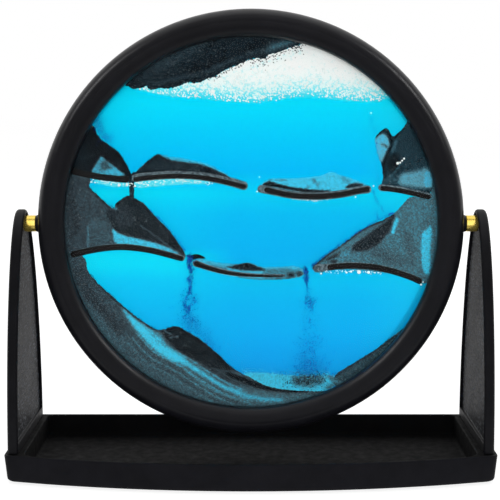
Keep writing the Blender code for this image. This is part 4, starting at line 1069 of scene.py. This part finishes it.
def streams():
    """Single grains: threads and plumes of falling sand, what settles below them, and what lies loose
    on the slopes."""
    def thread(width, count, *line):
        line = eased(spots(line), 2, closed=False)
        at = RNG.uniform(0, len(line) - 1, count)
        low = np.floor(at).astype(int).clip(0, len(line) - 2)
        points = line[low] + (line[low + 1] - line[low]) * (at - low)[:, None]
        return points + RNG.normal(0, width, points.shape)

    def cloud(count, x, y, across, down):
        return np.array((x, y)) + RNG.normal(0, 1, (count, 2)) * np.array((across, down))

    falling = [
        thread(1.3, 120, 189, 256, 190, 262, 188, 266, 191, 268), cloud(46, 189.5, 259, 2.2, 2),
        thread(1.4, 150, 191, 268, 191, 276, 188, 280, 191.6, 284, 189, 289, 190, 292, 186, 298),
        thread(1.9, 46, 181, 297, 184, 304, 187, 312), thread(1.9, 46, 196, 299, 192, 304, 188, 310),
        cloud(36, 187.5, 311, 2.6, 4.6), cloud(64, 188, 303, 6.4, 6.4),
        thread(1.5, 110, 305, 268, 307, 274, 306, 280), thread(1.1, 30, 306, 280, 308, 287, 309, 296),
        cloud(78, 309, 302.5, 3.8, 3.6),
    ]
    sprinkled("falling_sand", falling, (0.19, 0.35), GRAINS)
    fine = np.vstack([
        thread(0.8, 52, 373.4, 191, 374, 196, 377, 200, 381, 205, 383, 212),
        thread(0.7, 16, 377, 211, 378, 218), thread(2.8, 300, 94, 113, 97, 122, 100, 131, 109, 140),
        thread(1, 40, 371, 118, 376, 140, 378, 184), thread(4.6, 330, 188, 318, 193, 326, 206, 340, 214, 352),
        cloud(120, 192, 326, 8, 6), cloud(110, 309.5, 322, 5.4, 9), cloud(300, 310, 352, 9.2, 10),
        cloud(330, 309, 367, 10.5, 5),
        # The next two threads are painted shade: dark grains laid as the thin shadow line along the slopes of
        # the middle right and middle left heaps.
        thread(0.7, 300, 312.4, 265.2, 330, 251.2, 350, 236.8, 371, 223.4, 393, 212.8),
        thread(0.5, 130, 150.6, 210, 160.9, 220, 170.9, 230.2, 178.9, 241.2, 185, 250.2),
    ])
    # Dust that would lie inside the mound at the lower left is left out.
    mound = spots((
        157, 330, 162, 330, 168, 328, 178, 326, 190, 333, 200, 339, 210, 347, 220, 356, 228, 364, 238, 371,
    ))
    fine = fine[(fine[:, 0] > 250) | (fine[:, 1] < row_at(mound, fine[:, 0]) - 0.5)]
    sprinkled("fine_dust_and_painted_shade", fine, (0.14, 0.25), GRAINS)
    edge = CAP_EDGE[CAP_EDGE[:, 0] > 205]
    settled = [
        cloud(280, 308, 379, 8.8, 4.4), cloud(50, 318, 377, 6, 3), cloud(50, 296, 383, 5, 3),
        thread(1.5, 170, edge + (0, 1.6)), thread(3, 60, edge[12:] + (0, 5)),
    ]
    sprinkled("settling_sand", settled, (0.16, 0.30), SAND, 0.2)
    loose = [
        thread(0.9, 170, 140, 168, 150, 159, 158, 153.5, 170, 158, 182, 160, 203, 163.6, 226, 174.6),
        thread(0.9, 150, 163, 157, 185, 162.7, 203, 165, 218, 171),
        thread(0.7, 60, 112, 148, 120, 154, 128, 167), thread(1.1, 80, 88, 186, 100, 197, 108, 205, 114, 208),
        thread(0.7, 80, 116, 206, 128, 195.5, 140, 201, 150, 210.6),
        thread(0.9, 150, 90, 274, 105, 290, 120, 303, 140, 319.4, 157, 329.6),
        thread(0.8, 150, 160, 330, 178, 325.8, 200, 339, 220, 356, 234, 369),
        thread(1.8, 90, 278, 374.6, 300, 376, 322, 375),
        thread(0.8, 70, 335, 376.6, 350, 365.4, 372, 352.4, 395, 335.4),
        thread(0.8, 130, 266, 182, 284, 186, 304, 189.6, 330, 191),
        thread(0.7, 40, 346, 186, 358, 183.4, 366, 185),
        thread(0.7, 80, 226, 267, 245, 263, 258, 267, 268, 270), thread(1.4, 70, 312, 269, 320, 262, 336, 258),
        thread(1.1, 90, 188.6, 255, 190, 262, 188.6, 267, 191, 275), thread(1.2, 40, 305, 267, 306.6, 275),
    ]
    sprinkled("loose_grains", loose, (0.11, 0.19), SAND, 0.1)
    pale = thread(1.7, 360, 243, 371, 262, 371.2, 286, 373, 304, 374, 328, 372.6)
    sprinkled("pale_grains", pale, (0.12, 0.21), SAND, 0.97)


# The lower edge of the foam.
FRINGE = spots((
    131, 88.6, 140, 90, 150, 92.5, 162, 95, 175, 97, 188, 98.4, 200, 99, 225, 101.5, 245, 103, 258, 103.6,
    270, 101, 300, 97.5, 330, 99, 355, 102, 375, 102.5, 388, 99.5, 402, 95,
))


def foam_layer():
    """The foam under the top sand, thinner towards its lower edge, and two strips under the dividers."""
    def band(height):
        return np.vstack((FRINGE + (0, 4), (FRINGE - (0, height))[::-1]))

    roof = np.vstack((spots((405, 84, 380, 66, 350, 50, 322, 40)), CAP_EDGE[::-1][:-2]))
    slab("bubble_foam", np.vstack((FRINGE, roof)), THIN_DEPTH, FOAM, "air_bubbles", ["bubble_layer"], 0.92, (
        (8, 0.79, band(28)), (6, 0.54, band(18)), (5, 0.27, band(10)), (3, 0.08, band(5)), (1.5, 0, band(2)),
        (4, 0.26, 126, 84, 160, 86, 176, 86, 184, 90, 176, 98, 150, 94),
    ), (
        # The wide stroke of tone 1 along the top right, beside the ring, is painted light that whitens the foam
        # in the ring's shade.
        (3, 0.74, 215, 82, 250, 68, 300, 52), (9, 1, 316, 38, 350, 50, 380, 67, 404, 86),
    ), ragged=0.4, ease=1)
    for side, outline in (
        ("left", (93, 179.6, 105, 180.6, 118, 181.8, 129.6, 182.4, 129.4, 186.6, 118, 187.4, 106, 186,
                  96, 183)),
        ("mid", (133.4, 182.4, 142, 180.2, 155, 178.8, 170, 178.4, 185, 178.8, 200, 180, 213, 182, 205, 183.6,
                 190, 184, 175, 184.8, 160, 186, 146, 187.4, 135, 187.6)),
    ):
        slab(f"bubble_strip_{side}", outline, THIN_DEPTH, FOAM, "air_bubbles", (), 0.16, ragged=0.5)


def ball(steps):
    """A unit ball of triangles."""
    bm = bmesh.new()
    bmesh.ops.create_icosphere(bm, subdivisions=steps, radius=1.0)
    verts = np.array([tuple(v.co) for v in bm.verts])
    faces = np.array([[v.index for v in f.verts] for f in bm.faces])
    bm.free()
    return verts, faces


# The larger single bubbles, each as column, row and radius.
SINGLE_BUBBLES = (
    212.5, 92, 3.8, 222, 90, 1.5, 215, 97, 1.3, 192, 88, 1.6, 332, 92, 2.2, 354, 93.5, 2, 360, 95.5, 2.4,
    345, 87, 1.8, 274, 91.5, 1.6, 279, 92.5, 1.5, 256, 98.5, 1.6, 262, 96, 1.4, 371, 113, 1, 246, 101, 1.3,
    284, 77, 2.2, 305, 75, 2.2, 140, 89, 1.2, 144, 88.6, 1.6, 148, 90.6, 1, 119, 185, 2.4, 127, 184.5, 2.2,
    135, 186, 1.4, 140, 183, 0.9, 148, 185, 1.5, 155.5, 182, 1.5, 163, 184, 0.8, 177, 181.4, 1, 314, 201.3, 0.8,
    316.5, 201.3, 0.8, 257, 191.5, 1, 355.5, 197, 0.9, 373.5, 186, 0.9, 321, 273.5, 1.4, 346.5, 272.5, 1.5,
    351, 271.5, 1.8, 359, 272, 3.1, 368.5, 272.3, 2.4, 375, 272.6, 0.8, 378, 272.6, 0.8, 421, 284.6, 1.5,
    423, 282, 0.9, 331, 272.6, 0.8, 338, 273.4, 0.6, 342, 271.6, 0.6, 397.6, 163.2, 2.5, 400, 162.6, 1.5,
    402, 160.6, 1.4, 404, 158.6, 1.7, 259.4, 177, 0.7, 91, 182, 1, 95, 182.6, 0.9,
)


def bubbles():
    """Round bubbles in the foam, along its lower edge and under the dividers, against both panes."""
    found = []

    def add(x, y, radius):
        if held([(x, y)], (radius + 1) * GRID_ACROSS)[0]:
            found.append((x, y, radius))

    def clear_of_cap(x, y, gap):
        return x > CAP_EDGE[-1, 0] or y > row_at(CAP_EDGE, x) + gap

    for _ in range(900):
        x = RNG.uniform(134, 396)
        y = row_at(FRINGE, x) - RNG.gamma(2.0, 4.6) + RNG.normal(0, 0.3)
        radius = RNG.choice((0.5, 0.7, 0.95, 1.3), p=(0.42, 0.34, 0.17, 0.07))
        if clear_of_cap(x, y, 1):
            add(x, y, radius)
    for _ in range(260):
        x = RNG.uniform(150, 392)
        y = row_at(FRINGE, x) - RNG.uniform(5, 32)
        if clear_of_cap(x, y, 3):
            add(x, y, RNG.choice((1.0, 1.4, 1.9), p=(0.5, 0.36, 0.14)))
    for x, y, radius in np.reshape(SINGLE_BUBBLES, (-1, 3)):
        add(x, y, radius)
    # Under the dividers: how many, from which column to which, the divider's underside, how far they hang
    # below it, their radii and the share of each. The strip under the second divider thins to the right.
    thin_from, thin_to, thin = 185, 213, 0.7
    for count, low, high, under, drop, sizes, shares in (
        (150, 92, 213, (78, 175, 102, 180.4, 127, 183, 134, 182.6, 160, 179.8, 180, 179.4, 207, 182, 231, 187),
         1.8, (0.4, 0.55, 0.75), (0.5, 0.38, 0.12)),
        (36, 292, 330, (282, 197, 303, 199.8, 319, 200.2, 346, 197.4), 0.5, (0.3, 0.4, 0.5), None),
        (40, 322, 382, (320, 271, 352, 270, 378, 272.4), 1.0, (0.35, 0.45, 0.6), None),
    ):
        for _ in range(count):
            x = RNG.uniform(low, high)
            hang = abs(RNG.normal(0, drop)) * (thin if thin_from <= x <= thin_to else 1.0)
            add(x, row_at(spots(under), x) + hang, RNG.choice(sizes, p=shares))
    shell, tris = ball(2)
    deepest = 0.8 * MM
    verts, faces, rims = [], [], []
    for x, y, radius in found:
        size = radius * GRID_ACROSS
        depth = min(size, deepest)
        for side in (-1, 1):
            centre = lay([(x, y)], side * (BUBBLE_DEPTH - depth))[0]
            faces.append(tris + len(verts) * len(shell))
            verts.append(centre + shell * (size, depth, size))
            rims.append(np.hypot(shell[:, 0], shell[:, 2]))
    shape, rims = (np.vstack(verts), np.vstack(faces)), np.concatenate(rims)
    piece("air_bubble_spheres", shape, [BUBBLE], RING, attribute=("rim", rims))


def liquid():
    """The disc of liquid, just inside the sand's faces."""
    reach, soft, hub = LIQUID_DEPTH, 0.1 * MM, 0.01 * MM
    profile = [
        (hub, -reach), (FILL_RADIUS - soft, -reach), (FILL_RADIUS, soft - reach), (FILL_RADIUS, reach - soft),
        (FILL_RADIUS - soft, reach), (hub, reach),
    ]
    shape = turned(profile, (0, 1, 0), PIVOT, ROUND_STEPS)
    made = piece("clear_blue_liquid", shape, [LIQUID], RING, ["liquid_fill"])
    made.visible_shadow = False


def carried_over():
    """Materials for the solids that stay as they are."""
    feet = [f"foot_{end}_{side}" for end in ("front", "rear") for side, _ in SIDES]
    for material, *names in (
        (GLASS, "front_glass", "rear_glass"),
        (RUBBER, "front_gasket", "rear_gasket", "cell_spacer", "filler_plug", *feet),
        (NYLON, "left_arm_bush", "right_arm_bush"),
        (STEEL, "left_captive_nut", "right_captive_nut"),
    ):
        for name in names:
            solid = NODES[name]
            solid.data.materials.clear()
            solid.data.materials.append(material)
            if material is GLASS:
                solid.visible_shadow = False


# Stage


def white_floor():
    """A white floor that keeps the object's shadow."""
    mesh = bpy.data.meshes.new("floor")
    mesh.from_pydata([(-6, -6, 0), (6, -6, 0), (6, 6, 0), (-6, 6, 0)], [], [(0, 1, 2, 3)])
    floor = bpy.data.objects.new("floor", mesh)
    SCENE.collection.objects.link(floor)
    paint = Paint("white_floor", Roughness=0.9, Specular_IOR_Level=0.0, Emission_Color=WHITE)
    path = paint.node("ShaderNodeLightPath").outputs
    paint.set(Base_Color=paint.mottled(3, 2, (0.58, 0.58, 0.58, 1), (0.6, 0.6, 0.6, 1)))
    paint.set(Emission_Strength=paint.maths("MULTIPLY", path["Is Camera Ray"], 0.82))
    mirrored = paint.fit(paint.axis("Y"), -0.25, 0.15, 0.10, 0.85)
    seen = paint.mix(path["Is Transmission Ray"], mirrored, WHITE)
    plain = paint.node("ShaderNodeEmission", {"Color": seen, "Strength": 1.0})
    bent = paint.maths("MAXIMUM", path["Is Transmission Ray"], path["Is Glossy Ray"])
    either = paint.node("ShaderNodeMixShader", {0: bent, 1: paint.shader.outputs[0], 2: plain.outputs[0]})
    paint.feed(paint.tree.nodes["Material Output"].inputs["Surface"], either.outputs[0])
    mesh.materials.append(paint.made)


def white_surround():
    """A surround that is white to the camera and through glass, and darker in front for reflections."""
    world = bpy.data.worlds.new("white_surround")
    SCENE.world = world
    world.use_nodes = True
    sky = Graph(world.node_tree)
    sky.tree.nodes.clear()
    path = sky.node("ShaderNodeLightPath").outputs
    split = sky.node("ShaderNodeSeparateXYZ", {0: sky.node("ShaderNodeTexCoord").outputs["Generated"]})
    behind = sky.fit(split.outputs["Y"], -0.25, 0.45, 0.10, 0.95, interpolation_type="SMOOTHSTEP")
    direct = sky.maths("MAXIMUM", path["Is Camera Ray"], path["Is Transmission Ray"])
    level = sky.between(direct, sky.between(path["Is Glossy Ray"], 0.30, behind), 1.0)
    light = sky.node("ShaderNodeBackground", {"Color": WHITE, "Strength": level})
    sky.node("ShaderNodeOutputWorld", {"Surface": light.outputs[0]})


def soft_lamps():
    """Soft lamps on the whole object, and four that each light only the pieces they are made for."""
    pins = [f"smooth_{side}_stud" for side, _ in SIDES]
    rims = [f"smooth_{half}_bezel" for half in ("front", "rear")]
    for name, place, aim_height, size, power, receivers in (
        ("top_softbox", (0.0, -0.10, 0.95), 0.1, (1.0, 0.6), 1.4, ()),
        ("front_softbox", (0.02, -1.30, 0.26), 0.1, (0.5, 0.5), 6.8, ()),
        ("left_softbox", (-0.85, -0.95, 0.36), 0.1, (0.6, 0.6), 0.6, ()),
        ("right_softbox", (0.85, -0.95, 0.36), 0.1, (0.6, 0.6), 0.9, ()),
        ("back_softbox", (0.2, 1.1, 0.6), 0.1, (0.8, 0.8), 4.0, ()),
        ("pin_softbox", (0.0, -0.22, 0.20), 0.2, (1.0, 0.38), 1.4, pins),
        ("left_rim_softbox", (-0.67, -0.40, 0.62), 0.1, (0.28, 0.28), 1.7, rims),
        ("right_rim_softbox", (0.67, -0.40, 0.62), 0.1, (0.28, 0.28), 1.7, rims),
        ("brow_softbox", (0.0, -0.62, 0.64), 0.1, (0.3, 0.24), 0.16, rims),
    ):
        data = bpy.data.lights.new(name, "AREA")
        data.shape = "RECTANGLE"
        data.size, data.size_y = size
        data.energy = power
        lamp = bpy.data.objects.new(name, data)
        lamp.location = place
        lamp.visible_glossy = name == "top_softbox" or bool(receivers)
        lamp.visible_transmission = False
        lamp.rotation_euler = (Vector((0, 0, aim_height)) - Vector(place)).to_track_quat("-Z", "Y").to_euler()
        SCENE.collection.objects.link(lamp)
        if receivers:
            lit = bpy.data.collections.new(f"lit_by_{name}")
            for receiver in receivers:
                lit.objects.link(bpy.data.objects[receiver])
            lamp.light_linking.receiver_collection = lit
            lamp.visible_camera = False
            lamp.visible_diffuse = receivers is pins


def camera():
    """The photograph's viewpoint: a little above the pivots, looking slightly down."""
    data = bpy.data.cameras.new("camera")
    data.lens = 93.44
    data.sensor_width = 36.0
    data.shift_x = -0.004
    data.clip_start = 0.01
    made = bpy.data.objects.new("camera", data)
    made.location = (0.00045, PIVOT.y - 0.5510, 0.16276)
    made.rotation_euler = (math.radians(90 - 7.21), 0, 0)
    SCENE.collection.objects.link(made)
    SCENE.camera = made
    SCENE.view_settings.view_transform = "Standard"


tray()
arms()
ring_halves()
pivots()
dividers()
sands()
streams()
foam_layer()
bubbles()
liquid()
carried_over()
white_floor()
white_surround()
soft_lamps()
camera()
